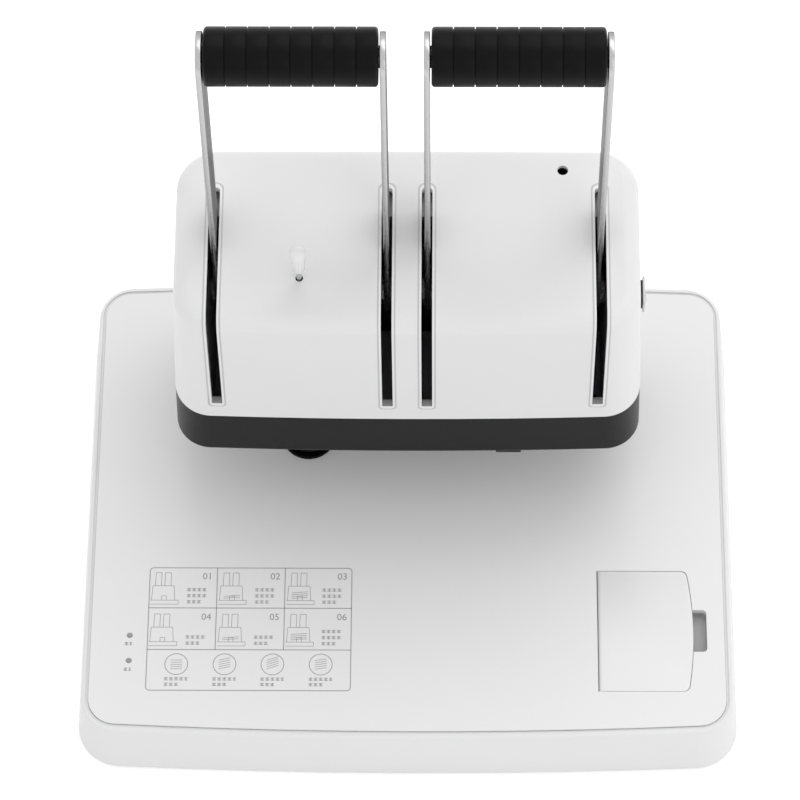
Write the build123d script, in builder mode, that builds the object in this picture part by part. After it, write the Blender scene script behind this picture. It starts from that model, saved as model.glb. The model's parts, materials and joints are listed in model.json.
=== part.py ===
from build123d import *
import math
import os

os.makedirs("parts", exist_ok=True)

# Base: a wide low box with leaning walls, its front and back edges bowed outwards
base_width = 389.8
base_depth = 308.8
base_height = 44
base_corner = 26
base_wall = 3
base_side_draft = 4.8
base_back_draft = 1
base_rim_round = 1.4
base_bottom_gap = 3
front_bow = 5
back_bow = 4
table_side_inset = 6.9
table_front_inset = 7.65
table_back_inset = 3.4
table_corner = 18
groove_width = 1.8
groove_depth = 1.2
table_gap = 0.2
table_thickness = 4
ledge_width = 8
ledge_thickness = 3

# Feet and the steel sheet that closes the base
foot_height = 4
foot_diameter = 26
foot_inset_x = 32.9
foot_inset_y = 32.4
sheet_thickness = 1.5
sheet_screw_inset_x = 10.9
sheet_screw_inset_y = 44.4
boss_diameter = 9
sheet_gap = 0.7
shell_screw_reach = 12
foot_screw_reach = 3
foot_screw_recess = 0.4
foot_recess_gap = 1
edge_chamfer = 0.8

# Head: a dark skirt below, a white cover above, over the throat
throat = 57
skirt_height = 41
cover_front_height = 92.2
cover_slope = 1.84
casing_side_room = 17.41
head_depth = 126.8
head_back_inset = 20.15
seam_side_inset = 1.1
seam_front_inset = 0.8
cover_side_draft = 3.4
cover_front_lean = 5.4
head_bow = 2.6
head_back_bow = 0.5
skirt_corner = 20.5
seam_corner = 22
cover_corner = 25
cover_wall = 2.5
cover_round = 9.5
skirt_wall = 3
skirt_floor = 3
skirt_round = 3

# Column behind the throat
column_side_inset = 9.7
column_front_inset = 72.55
column_wall = 3
column_corner = 8
window_corner = 4
rear_window_side_inset = 26
rear_window_low = 6
rear_window_top_inset = 6
rear_screw_inset_x = 8
rear_screw_inset_z = 7
cover_screw_x = 95
cover_screw_above_seam = 14
cover_screw_below_frame_top = 10
skirt_screw_x = 100
skirt_screw_front_inset = 11
skirt_screw_back_inset = 15

# Handles: two flat arms each, a bar and a ribbed grip between their tops
handle_x = 60.24
arm_offset = 48.6
arm_thickness = 3.2
arm_width = 27
lever_length = 222
lever_lean = 3.7
handle_travel = 95
pivot_behind_front = 67.8
pivot_below_cover = 56.2
grip_diameter = 32
grip_length = 92.4
grip_segments = 8
grip_groove = 1.2
grip_groove_depth = 1
grip_round = 3
bar_diameter = 12
tenon_diameter = 8
axle_diameter = 12
axle_flange = 2
axle_flange_diameter = 18
hub_diameter = 20
hub_inner_length = 6
hub_outer_length = 2.5
hub_side_gap = 0.35

# Slots for the arms in the cover, lined with light trims
slot_offset = 48.93
slot_width = 6.1
trim_width = 8.5
slot_behind_pivot = 30.75
slot_below_pivot = 22.2
trim_end = 2.5
trim_depth = 4
trim_proud = 0.3
slot_corner = 2
trim_corner = 4
trim_low_corner = 2.5
cut_overshoot = 10

# Steel frame inside
plate_thickness = 5
centre_plate_thickness = 8
frame_foot_thickness = 5
frame_foot_inset = 14.55
frame_front_inset = 16.55
frame_column_inset = 5
frame_back_inset = 9.25
back_plate_thickness = 3
back_plate_corner = 8
frame_top_below_cover = 10.2
frame_pass_gap = 1
frame_screw_x_values = (-100, -30, 30, 100)
frame_screw_front_inset = 18
frame_screw_back_inset = 20
upright_slant_run = 14
upright_slant_drop = 22
bush_wall = 2
head_plate_thickness = 4
head_plate_inset = 10.75
bridge_thickness = 4
bridge_beam_inset = 8
tongue_half_width = 28
tongue_inset = 15

# Sector gears on the axles, racks on the carriages
tooth_module = 2
gear_tooth_number = 30
gear_width = 8
gear_offset = 34
gear_hub_radius = 13
tooth_slack = 0.3
pressure_angle = 20
tooth_root_half_width = 1.95
tooth_tip_half_width = 0.74
tooth_root_lap = 0.5
spare_teeth = 3
wedge_margin = 0.6
spring_wire = 3
spring_end_gap = 8

# Tools on both carriages
tool_behind_front = 40.7
carriage_below_pivot = 16
carriage_height = 24
carriage_half_width = 29
carriage_behind_tool = 13.35
crossbar_thickness = 9
rack_depth = 12.25
crossbar_half_width = 38.5
guide_offset = 20
guide_diameter = 8
running_fit = 0.05
tool_tip_above_table = 54
press_hole = 30
drill_hole = 24

# Press tool, left
press_shaft_diameter = 16
press_collar_diameter = 22
press_collar_height = 3
heater_diameter = 26
heater_height = 20
insulator_height = 4
die_height = 18
die_shank_height = 6
die_diameter = 14
die_tip_diameter = 8
pin_bore = 3.6

# Locating pin with its knob, left
pin_diameter = 3
pin_lower_diameter = 2.4
pin_low_above_table = 58
knob_above_cover = 12
knob_height = 21
knob_top_diameter = 9.4
knob_foot_diameter = 7
knob_crown = 2.5
pin_hole_diameter = 4.4

# Drill, right
motor_diameter = 28
motor_top_gap = 4
motor_chamfer = 1.5
spindle_diameter = 10
chuck_diameter = 16
chuck_height = 16
chuck_chamfer = 2.5
spindle_gap = 2
chuck_low_above_table = 84
bit_diameter = 5.5
bit_bore = 4
bit_grip = 12
bearing_diameter = 22
bearing_height = 7

# Places on the table
anvil_ring_diameter = 31.6
anvil_ring_proud = 1.5
anvil_ring_height = 7
lower_die_diameter = 24
lower_die_proud = 3
lower_die_height = 10
lower_die_chamfer = 1
die_cup_diameter = 8
die_cup_floor_diameter = 2.4
die_cup_depth = 2.5
lower_heater_diameter = 30
lower_heater_height = 12
pad_diameter = 20
pad_proud = 3.5
pad_height = 8
tool_post_diameter = 25
seat_clearance = 0.3
lamp_width = 15
lamp_side_step = 1.2
lamp_inset = 4.45
lamp_length = 13
lamp_drop = 8
lamp_corner = 0.8
lens_thickness = 1.2
lens_inset = 1.5
lens_corner = 0.5
light_inset_x = 24.6
light_insets_y = (62.15, 45.95)
light_diameter = 3.2
light_proud = 0.3
light_fit = 0.1
light_round = 0.3

# Storage box with its hinged lid, right front
lid_left_inset = 75.8
lid_front_inset = 27.5
lid_length = 77.3
lid_straight_width = 48.8
lid_bulge_width = 55.8
lid_bulge_end_width = 53
lid_corner_run = 4
lid_corner_swell = 2.8
lid_corner_dip = 1
lid_thickness = 2.4
lid_knuckle_radius = 2.2
lid_pin_diameter = 1.6
lid_pin_reach = 3
lid_pin_fit = 0.08
lid_gap = 0.3
lid_hinge_gap = 0.5
tray_wall = 1.6
tray_floor_room = 3.5
tray_side_lap = 1
tray_end_lap = 2
tray_end_inset = 1
tray_corner = 4
tray_inner_corner = 3
rest_rib_inset = 51.3
rest_rib_width = 2
notch_reach = 63.8
notch_front_inset = 25.25
notch_length = 27
notch_floor_depth = 8
notch_corner = 2.5

# Right rear hole in the cover, with a guide tube below it
tube_side_step = 27.96
tube_back_inset = 16.5
tube_bore = 6.2
tube_outer = 9
tube_flange = 13
tube_flange_thickness = 2
tube_length = 40

# Switch on the right side of the head
switch_behind_front = 48.85
switch_above_seam = 62
switch_length = 17.5
switch_width = 12.3
switch_flange = 1.2
switch_neck = 1.4
switch_depth = 12
switch_body_inset = 1.8
switch_corner = 1.2
switch_fit = 0.2
switch_floor_gap = 1.8
rocker_radius = 5.4
rocker_width = 5.6
rocker_rise = 3
rocker_heel = 1
rocker_proud = 0.4
rocker_tilt = 8

# Mains inlet in the rear cover, and the control board in the base
inlet_x = 70
inlet_above_table = 27
inlet_width = 26
inlet_height = 18
inlet_rim = 2.5
inlet_rim_thickness = 2
inlet_wall = 1.5
inlet_depth = 15
inlet_body_depth = 18
inlet_corner = 3
inlet_rim_corner = 4
inlet_inner_corner = 2
inlet_fit = 0.2
inlet_pass_gap = 3
blade_width = 2
blade_height = 4
blade_length = 12
blade_spacing = 7
blade_rise = 2
board_inset_x = 48
board_inset_y = 56.75
board_width = 66
board_length = 72
board_thickness = 1.6
board_height = 16
post_diameter = 6
board_post_x = 28
board_post_y = 31
transformer_size = (28, 24, 16)
transformer_shift = (12, 14)
relay_size = (20, 16, 11)
relay_shift = (16, -20)
capacitor_diameter = 10
capacitor_height = 11
capacitor_shift = (-8, -22)
light_base_diameter = 5
light_base_height = 6
screw_diameter = 3
screw_head_diameter = 6
screw_head_height = 1.8
screw_head_round = 0.8
screw_hole_clearance = 0.2
frame_screw_diameter = 6
frame_screw_head = 10
frame_screw_head_height = 1.6

# Levels and places worked out from the sizes above
table_z = base_height
head_z = table_z + throat
seam_z = head_z + skirt_height
cover_front_top_z = seam_z + cover_front_height
sheet_top = foot_height + sheet_thickness
frame_foot_top = sheet_top + frame_foot_thickness
pivot_z = cover_front_top_z - pivot_below_cover
slot_low = pivot_z - slot_below_pivot
frame_top = cover_front_top_z - frame_top_below_cover
head_plate_top = head_z + skirt_floor + head_plate_thickness
bridge_top = frame_top + bridge_thickness
table_low = table_z - table_thickness
ledge_low = table_low - ledge_thickness
carriage_low = pivot_z - carriage_below_pivot
carriage_top = carriage_low + carriage_height
tip_z = table_z + tool_tip_above_table
switch_z = seam_z + switch_above_seam

table_width = base_width - 2 * table_side_inset
table_front = -base_depth / 2 + table_front_inset
table_back = base_depth / 2 - table_back_inset
foot_x = base_width / 2 - foot_inset_x
foot_y = base_depth / 2 - foot_inset_y
sheet_screw_x = base_width / 2 - sheet_screw_inset_x
sheet_screw_y = base_depth / 2 - sheet_screw_inset_y

outer_plate_x = handle_x + arm_offset + arm_thickness / 2 + hub_outer_length + hub_side_gap
head_width = 2 * (outer_plate_x + plate_thickness + casing_side_room)
head_back = base_depth / 2 - head_back_inset
head_front = head_back - head_depth
seam_front = head_front + seam_front_inset
seam_width = head_width - 2 * seam_side_inset
cover_top_width = seam_width - 2 * cover_side_draft
column_front = head_front + column_front_inset
column_half_width = head_width / 2 - column_side_inset
rear_window_half_width = column_half_width - rear_window_side_inset
rear_window_high = throat - rear_window_top_inset

pivot_y = head_front + pivot_behind_front
slot_back = pivot_y + slot_behind_pivot
tool_y = head_front + tool_behind_front
pitch_radius = tooth_module * gear_tooth_number / 2
rack_line_y = pivot_y - pitch_radius
tooth_pitch = math.pi * tooth_module
addendum = tooth_module
dedendum = 1.25 * tooth_module
crossbar_back = rack_line_y - rack_depth
crossbar_front = crossbar_back - crossbar_thickness
carriage_back = tool_y + carriage_behind_tool

frame_foot_front = head_front + frame_foot_inset
frame_front = head_front + frame_front_inset
frame_column_front = column_front + frame_column_inset
frame_back = head_back - frame_back_inset
head_plate_front = head_front + head_plate_inset
bridge_beam_front = frame_column_front + bridge_beam_inset
tongue_front = frame_front + tongue_inset
frame_screw_y_values = (frame_foot_front + frame_screw_front_inset, frame_back - frame_screw_back_inset)
skirt_screw_y_values = (
    head_plate_front + skirt_screw_front_inset,
    frame_column_front - skirt_screw_back_inset,
)
cover_screw_z_above_table = (
    seam_z + cover_screw_above_seam - table_z,
    frame_top - cover_screw_below_frame_top - table_z,
)

lid_left = table_width / 2 - lid_left_inset
lid_straight_right = lid_left + lid_straight_width
lid_bulge_x = lid_left + lid_bulge_width
lid_bulge_end_x = lid_left + lid_bulge_end_width
lid_front = table_front + lid_front_inset
lid_back = lid_front + lid_length
rest_rib_left = lid_left + rest_rib_inset
rest_rib_right = rest_rib_left + rest_rib_width
notch_right = lid_left + notch_reach
notch_front = lid_front + notch_front_inset
notch_back = notch_front + notch_length
light_x = light_inset_x - table_width / 2
light_y_values = [table_front + inset for inset in light_insets_y]
board_x = board_inset_x - table_width / 2
board_y = table_front + board_inset_y
lamp_x = handle_x - lamp_side_step
lamp_front = head_front + lamp_inset
tube_x = handle_x + tube_side_step
tube_y = head_back - tube_back_inset
switch_y = head_front + switch_behind_front

grip_y = pivot_y + lever_length * math.sin(math.radians(lever_lean))
grip_z = pivot_z + lever_length * math.cos(math.radians(lever_lean))
stroke = pitch_radius * math.radians(handle_travel)
sides = (("left", -1), ("right", 1))
print("stroke of both carriages", round(stroke, 2), "mm for", handle_travel, "degrees")


def bowed_outline(width, front, back, bow_front, bow_back, corner):
    """A rounded rectangle in plan, its front and back edges bowed outwards."""
    half = width / 2
    with BuildSketch() as face:
        with BuildLine():
            ThreePointArc((-half, front + bow_front), (0, front), (half, front + bow_front))
            Line((half, front + bow_front), (half, back - bow_back))
            ThreePointArc((half, back - bow_back), (0, back), (-half, back - bow_back))
            Line((-half, back - bow_back), (-half, front + bow_front))
        make_face()
        fillet(face.vertices(), corner)
    return face.sketch


def table_outline(inset):
    """The table's outline, or one that lies inside it by the inset."""
    return bowed_outline(
        table_width - 2 * inset,
        table_front + inset,
        table_back - inset,
        front_bow,
        back_bow,
        table_corner - inset,
    )


def base_body(inset, low, high):
    """The base as a solid block, or the space inside walls as thick as the inset."""
    with BuildPart() as body:
        with BuildSketch(Plane.XY.offset(low)):
            add(
                bowed_outline(
                    base_width - 2 * inset,
                    -base_depth / 2 + inset,
                    base_depth / 2 - inset,
                    front_bow,
                    back_bow,
                    base_corner - inset,
                )
            )
        with BuildSketch(Plane.XY.offset(high)):
            add(
                bowed_outline(
                    base_width - 2 * base_side_draft - 2 * inset,
                    -base_depth / 2 + base_side_draft + inset,
                    base_depth / 2 - base_back_draft - inset,
                    front_bow,
                    back_bow,
                    base_corner - base_side_draft - inset,
                )
            )
        loft(ruled=True)
    return body.part


def cover_body(inset, round_radius):
    """The cover as a solid block, or the space inside walls as thick as the inset."""
    front_shift = cover_front_height * math.tan(math.radians(cover_front_lean))
    top_plane = Plane(
        origin=(0, 0, cover_front_top_z - inset),
        x_dir=(1, 0, 0),
        z_dir=(0, -math.sin(math.radians(cover_slope)), math.cos(math.radians(cover_slope))),
    )
    with BuildPart() as body:
        with BuildSketch(Plane.XY.offset(seam_z)):
            add(
                bowed_outline(
                    seam_width - 2 * inset,
                    seam_front + inset,
                    head_back - inset,
                    head_bow,
                    head_back_bow,
                    seam_corner - inset,
                )
            )
        with BuildSketch(top_plane):
            add(
                bowed_outline(
                    cover_top_width - 2 * inset,
                    seam_front + front_shift + inset,
                    head_back - inset,
                    head_bow,
                    head_back_bow,
                    cover_corner - inset,
                )
            )
        loft(ruled=True)
        fillet(body.faces().sort_by(Axis.Z)[-1].edges(), round_radius)
    return body.part


def slot_block(x, width, extra, corner, low_corner=0):
    """The space of one arm slot: over the top from its back end, down the front."""
    low = slot_low - extra
    back = slot_back + extra
    with BuildPart() as block:
        with BuildSketch(Plane.YZ.offset(x)):
            with BuildLine():
                Polyline(
                    (head_front - cut_overshoot, low),
                    (back, low),
                    (back, cover_front_top_z + cut_overshoot),
                    (head_front - cut_overshoot, cover_front_top_z + cut_overshoot),
                    close=True,
                )
            make_face()
        extrude(amount=width / 2, both=True)
        fillet(block.faces().sort_by(Axis.Y)[-1].edges().filter_by(Axis.Z), corner)
        if low_corner:
            fillet(block.faces().sort_by(Axis.Z)[0].edges().filter_by(Axis.Y), low_corner)
    return block.part


def cover_half_width(z):
    """Half the cover's width at a height."""
    share = (z - seam_z) / cover_front_height
    return seam_width / 2 - share * (seam_width - cover_top_width) / 2


def lid_outline(grow, left_edge):
    """The lid's plan: straight on the hinge side, bulging on the side of the notch."""
    back = lid_back + grow
    front = lid_front - grow
    middle = (lid_back + lid_front) / 2
    with BuildSketch() as face:
        with BuildLine():
            Line((left_edge, front), (left_edge, back))
            Line((left_edge, back), (lid_straight_right, back))
            ThreePointArc(
                (lid_straight_right, back),
                (lid_straight_right + lid_corner_swell + grow, back - lid_corner_dip),
                (lid_bulge_end_x + grow, back - lid_corner_run),
            )
            ThreePointArc(
                (lid_bulge_end_x + grow, back - lid_corner_run),
                (lid_bulge_x + grow, middle),
                (lid_bulge_end_x + grow, front + lid_corner_run),
            )
            ThreePointArc(
                (lid_bulge_end_x + grow, front + lid_corner_run),
                (lid_straight_right + lid_corner_swell + grow, front + lid_corner_dip),
                (lid_straight_right, front),
            )
            Line((lid_straight_right, front), (left_edge, front))
        make_face()
    return face.sketch


# Base shell: outer walls, a seat for the table, the groove round it, and bosses for the bottom sheet
boss_places = [(x, y) for x in (-sheet_screw_x, sheet_screw_x) for y in (-sheet_screw_y, 0, sheet_screw_y)]
with BuildPart() as base_shell:
    add(base_body(0, base_bottom_gap, base_height))
    fillet(base_shell.faces().sort_by(Axis.Z)[-1].edges(), base_rim_round)
    add(base_body(base_wall, base_bottom_gap, ledge_low), mode=Mode.SUBTRACT)
    with BuildSketch(Plane.XY.offset(ledge_low)):
        add(table_outline(ledge_width))
    extrude(amount=base_height, mode=Mode.SUBTRACT)
    with BuildSketch(Plane.XY.offset(table_low)):
        add(table_outline(groove_width - table_gap))
    extrude(amount=base_height, mode=Mode.SUBTRACT)
    with BuildSketch(Plane.XY.offset(table_z - groove_depth)):
        add(table_outline(0))
    extrude(amount=base_height, mode=Mode.SUBTRACT)
    with BuildSketch(Plane.XY.offset(sheet_top)):
        with Locations(*boss_places):
            Circle(boss_diameter / 2)
    extrude(amount=ledge_low - sheet_top)
    with BuildSketch(Plane.XY.offset(sheet_top)):
        with Locations(*boss_places):
            Circle(screw_diameter / 2)
    extrude(amount=shell_screw_reach, mode=Mode.SUBTRACT)
base_shell.part.label = "base_shell"
export_step(base_shell.part, "parts/base_shell.step")

# Bottom sheet with the posts of the control board
frame_screw_places = [(x, y) for x in frame_screw_x_values for y in frame_screw_y_values]
foot_places = [(x, y) for x in (-foot_x, foot_x) for y in (-foot_y, foot_y)]
post_places = [
    (board_x + x, board_y + y)
    for x in (-board_post_x, board_post_x)
    for y in (-board_post_y, board_post_y)
]
sheet_inset = base_wall + sheet_gap
with BuildPart() as bottom_sheet:
    with BuildSketch(Plane.XY.offset(foot_height)):
        add(
            bowed_outline(
                base_width - 2 * sheet_inset,
                -base_depth / 2 + sheet_inset,
                base_depth / 2 - sheet_inset,
                front_bow,
                back_bow,
                base_corner - base_wall,
            )
        )
        with Locations(*boss_places, *foot_places):
            Circle((screw_diameter + screw_hole_clearance) / 2, mode=Mode.SUBTRACT)
        with Locations(*frame_screw_places):
            Circle((frame_screw_diameter + screw_hole_clearance) / 2, mode=Mode.SUBTRACT)
    extrude(amount=sheet_thickness)
    with BuildSketch(Plane.XY.offset(sheet_top)):
        with Locations(*post_places):
            Circle(post_diameter / 2)
    extrude(amount=board_height - sheet_top)
bottom_sheet.part.label = "bottom_sheet"
export_step(bottom_sheet.part, "parts/bottom_sheet.step")

with BuildPart() as rubber_feet:
    with BuildSketch():
        with Locations(*foot_places):
            Circle(foot_diameter / 2)
    extrude(amount=foot_height)
    chamfer(rubber_feet.faces().sort_by(Axis.Z)[0:4].edges(), edge_chamfer)
    with BuildSketch():
        with Locations(*foot_places):
            Circle(screw_head_diameter / 2 + foot_recess_gap)
    extrude(amount=foot_height / 2, mode=Mode.SUBTRACT)
    with BuildSketch():
        with Locations(*foot_places):
            Circle((screw_diameter + screw_hole_clearance) / 2)
    extrude(amount=foot_height, mode=Mode.SUBTRACT)
rubber_feet.part.label = "rubber_feet"
export_step(rubber_feet.part, "parts/rubber_feet.step")

# Screws that come up through the bottom sheet: shell, feet and frame foot
with BuildPart() as base_screws:
    for places, low, head, head_height, shank, reach in (
        (
            boss_places,
            foot_height,
            screw_head_diameter,
            screw_head_height,
            screw_diameter,
            shell_screw_reach,
        ),
        (
            foot_places,
            foot_height / 2,
            screw_head_diameter,
            foot_height / 2 - foot_screw_recess,
            screw_diameter,
            foot_screw_reach,
        ),
        (
            frame_screw_places,
            foot_height,
            frame_screw_head,
            frame_screw_head_height,
            frame_screw_diameter,
            frame_foot_thickness,
        ),
    ):
        with BuildSketch(Plane.XY.offset(low)):
            with Locations(*places):
                Circle(head / 2)
        extrude(amount=-head_height)
        with BuildSketch(Plane.XY.offset(low)):
            with Locations(*places):
                Circle(shank / 2)
        extrude(amount=sheet_top + reach - low)
base_screws.part.label = "base_screws"
export_step(base_screws.part, "parts/base_screws.step")

# Table: the flat plate let into the base, a narrow groove left round it
lid_pin_x = lid_left + lid_knuckle_radius
lid_pin_z = table_z - lid_knuckle_radius
tool_places = {"press": (-handle_x, tool_y), "drill": (handle_x, tool_y)}
with BuildPart() as table_plate:
    with BuildSketch(Plane.XY.offset(table_low)):
        add(table_outline(groove_width))
        with Locations((0, (frame_column_front + frame_back + back_plate_thickness) / 2)):
            Rectangle(
                2 * (outer_plate_x + plate_thickness + frame_pass_gap),
                frame_back + back_plate_thickness - frame_column_front + 2 * frame_pass_gap,
                mode=Mode.SUBTRACT,
            )
        with Locations(tool_places["press"]):
            Circle(anvil_ring_diameter / 2 + seat_clearance, mode=Mode.SUBTRACT)
        with Locations(tool_places["drill"]):
            Circle(pad_diameter / 2 + seat_clearance, mode=Mode.SUBTRACT)
        with Locations(*[(light_x, y) for y in light_y_values]):
            Circle(light_diameter / 2 + light_fit, mode=Mode.SUBTRACT)
        add(lid_outline(lid_gap, lid_left - lid_hinge_gap), mode=Mode.SUBTRACT)
        with Locations(((lid_straight_right + notch_right) / 2, (notch_front + notch_back) / 2)):
            RectangleRounded(
                notch_right - lid_straight_right,
                notch_back - notch_front,
                notch_corner,
                mode=Mode.SUBTRACT,
            )
    extrude(amount=table_thickness)
    hinge_start = lid_front - lid_pin_reach - lid_gap
    with BuildSketch(Plane(origin=(lid_pin_x, hinge_start, lid_pin_z), z_dir=(0, 1, 0))):
        Circle(lid_pin_diameter / 2 + lid_pin_fit)
    extrude(amount=lid_back - lid_front + 2 * lid_pin_reach + 2 * lid_gap, mode=Mode.SUBTRACT)
table_plate.part.label = "table_plate"
export_step(table_plate.part, "parts/table_plate.step")

# Storage box under the lid, with the shallow cup of the finger notch beside it
tray_left = lid_left - lid_hinge_gap
tray_right = notch_right + tray_wall
tray_low = sheet_top + tray_floor_room
tray_depth = table_low - tray_low
with BuildPart() as storage_tray:
    with BuildSketch(Plane.XY.offset(tray_low)):
        with Locations(((tray_left + tray_right) / 2, (lid_back + lid_front) / 2)):
            RectangleRounded(
                tray_right - tray_left + 2 * tray_side_lap,
                lid_back - lid_front + 2 * tray_end_lap,
                tray_corner,
            )
    extrude(amount=tray_depth)
    with BuildSketch(Plane.XY.offset(tray_low + tray_wall)):
        with Locations(((tray_left + tray_wall + rest_rib_left) / 2, (lid_back + lid_front) / 2)):
            RectangleRounded(
                rest_rib_left - tray_left - tray_wall,
                lid_back - lid_front - 2 * tray_end_inset,
                tray_inner_corner,
            )
    extrude(amount=tray_depth, mode=Mode.SUBTRACT)
    with BuildSketch(Plane.XY.offset(table_z - notch_floor_depth)):
        with Locations(((rest_rib_right + notch_right) / 2, (notch_front + notch_back) / 2)):
            RectangleRounded(notch_right - rest_rib_right, notch_back - notch_front, notch_corner)
    extrude(amount=notch_floor_depth, mode=Mode.SUBTRACT)
    with BuildSketch(Plane.XY.offset(table_low)):
        with Locations(((rest_rib_left + rest_rib_right) / 2, (lid_back + lid_front) / 2)):
            Rectangle(rest_rib_right - rest_rib_left, notch_back - notch_front)
    extrude(amount=table_thickness - lid_thickness - lid_gap)
    with BuildSketch(Plane(origin=(lid_pin_x, lid_front - lid_pin_reach, lid_pin_z), z_dir=(0, 1, 0))):
        Circle(lid_knuckle_radius + lid_gap)
    extrude(amount=lid_back - lid_front + 2 * lid_pin_reach, mode=Mode.SUBTRACT)
storage_tray.part.label = "storage_tray"
export_step(storage_tray.part, "parts/storage_tray.step")

with BuildPart() as storage_lid:
    with BuildSketch(Plane.XY.offset(table_z - lid_thickness)):
        add(lid_outline(0, lid_pin_x))
    extrude(amount=lid_thickness)
    with BuildSketch(Plane(origin=(lid_pin_x, lid_front, lid_pin_z), z_dir=(0, 1, 0))):
        Circle(lid_knuckle_radius)
    extrude(amount=lid_back - lid_front)
    with BuildSketch(Plane(origin=(lid_pin_x, lid_front - lid_pin_reach, lid_pin_z), z_dir=(0, 1, 0))):
        Circle(lid_pin_diameter / 2)
    extrude(amount=lid_back - lid_front + 2 * lid_pin_reach)
storage_lid.part.label = "storage_lid"
export_step(storage_lid.part, "parts/storage_lid.step")

# Lower tools on the table: heated die with its ring on the left, nylon pad on the right
lower_die_top = table_z + lower_die_proud
lower_die_low = lower_die_top - lower_die_height
lower_heater_low = lower_die_low - lower_heater_height
with BuildPart() as lower_die:
    with BuildSketch(Plane.XY.offset(lower_die_low)):
        with Locations(tool_places["press"]):
            Circle(lower_die_diameter / 2)
    extrude(amount=lower_die_height)
    chamfer(lower_die.faces().sort_by(Axis.Z)[-1].edges(), lower_die_chamfer)
    with Locations((*tool_places["press"], lower_die_top)):
        Cone(
            die_cup_floor_diameter / 2,
            die_cup_diameter / 2,
            die_cup_depth,
            align=(Align.CENTER, Align.CENTER, Align.MAX),
            mode=Mode.SUBTRACT,
        )
lower_die.part.label = "lower_die"
export_step(lower_die.part, "parts/lower_die.step")

with BuildPart() as anvil_ring:
    with BuildSketch(Plane.XY.offset(table_z + anvil_ring_proud)):
        with Locations(tool_places["press"]):
            Circle(anvil_ring_diameter / 2)
            Circle(lower_die_diameter / 2, mode=Mode.SUBTRACT)
    extrude(amount=-anvil_ring_height)
anvil_ring.part.label = "anvil_ring"
export_step(anvil_ring.part, "parts/anvil_ring.step")

with BuildPart() as lower_heater:
    with BuildSketch(Plane.XY.offset(lower_heater_low)):
        with Locations(tool_places["press"]):
            Circle(lower_heater_diameter / 2)
    extrude(amount=lower_heater_height)
lower_heater.part.label = "lower_heater"
export_step(lower_heater.part, "parts/lower_heater.step")

pad_low = table_z + pad_proud - pad_height
with BuildPart() as drill_pad:
    with BuildSketch(Plane.XY.offset(pad_low)):
        with Locations(tool_places["drill"]):
            Circle(pad_diameter / 2)
    extrude(amount=pad_height)
    chamfer(drill_pad.faces().sort_by(Axis.Z)[-1].edges(), edge_chamfer)
drill_pad.part.label = "drill_pad"
export_step(drill_pad.part, "parts/drill_pad.step")

with BuildPart() as tool_posts:
    for place, top in ((tool_places["press"], lower_heater_low), (tool_places["drill"], pad_low)):
        with BuildSketch(Plane.XY.offset(frame_foot_top)):
            with Locations(place):
                Circle(tool_post_diameter / 2)
        extrude(amount=top - frame_foot_top)
tool_posts.part.label = "tool_posts"
export_step(tool_posts.part, "parts/tool_posts.step")

# Column casing, open at the back behind a screwed cover
with BuildPart() as column_casing:
    with BuildSketch(Plane.XY.offset(table_z)):
        with Locations((0, (column_front + head_back) / 2)):
            RectangleRounded(2 * column_half_width, head_back - column_front, column_corner)
            RectangleRounded(
                2 * (column_half_width - column_wall),
                head_back - column_front - 2 * column_wall,
                column_corner - column_wall,
                mode=Mode.SUBTRACT,
            )
    extrude(amount=throat)
    with BuildSketch(Plane.XY.offset(table_z + rear_window_low)):
        with Locations((0, head_back)):
            Rectangle(2 * rear_window_half_width, 4 * column_wall)
    extrude(amount=rear_window_high - rear_window_low, mode=Mode.SUBTRACT)
    fillet(column_casing.edges().filter_by(Axis.Y).group_by(Axis.Y)[-1], window_corner)
column_casing.part.label = "column_casing"
export_step(column_casing.part, "parts/column_casing.step")

rear_plane = Plane(origin=(0, head_back, table_z), x_dir=(-1, 0, 0), z_dir=(0, 1, 0))
rear_centre = (rear_window_low + rear_window_high) / 2
rear_height = rear_window_high - rear_window_low
rear_screw_places = [
    (x, z)
    for x in (rear_screw_inset_x - rear_window_half_width, rear_window_half_width - rear_screw_inset_x)
    for z in (rear_window_low + rear_screw_inset_z, rear_window_high - rear_screw_inset_z)
]
with BuildPart() as rear_cover:
    with BuildSketch(rear_plane):
        with Locations((0, rear_centre)):
            RectangleRounded(
                2 * (rear_window_half_width - seat_clearance),
                rear_height - 2 * seat_clearance,
                window_corner,
            )
        with Locations((-inlet_x, inlet_above_table)):
            RectangleRounded(
                inlet_width + 2 * inlet_fit,
                inlet_height + 2 * inlet_fit,
                inlet_corner,
                mode=Mode.SUBTRACT,
            )
        with Locations(*rear_screw_places):
            Circle((screw_diameter + screw_hole_clearance) / 2, mode=Mode.SUBTRACT)
    extrude(amount=-column_wall)
rear_cover.part.label = "rear_cover"
export_step(rear_cover.part, "parts/rear_cover.step")

# Mains inlet: a rimmed socket with three blades
with BuildPart() as power_inlet:
    with BuildSketch(rear_plane):
        with Locations((-inlet_x, inlet_above_table)):
            RectangleRounded(inlet_width, inlet_height, inlet_corner)
    extrude(amount=-inlet_body_depth)
    with BuildSketch(rear_plane):
        with Locations((-inlet_x, inlet_above_table)):
            RectangleRounded(
                inlet_width + 2 * inlet_rim,
                inlet_height + 2 * inlet_rim,
                inlet_rim_corner,
            )
    extrude(amount=inlet_rim_thickness)
    with BuildSketch(rear_plane.offset(inlet_rim_thickness)):
        with Locations((-inlet_x, inlet_above_table)):
            RectangleRounded(
                inlet_width - 2 * inlet_wall,
                inlet_height - 2 * inlet_wall,
                inlet_inner_corner,
            )
    extrude(amount=-inlet_depth, mode=Mode.SUBTRACT)
power_inlet.part.label = "power_inlet"
export_step(power_inlet.part, "parts/power_inlet.step")

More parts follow.
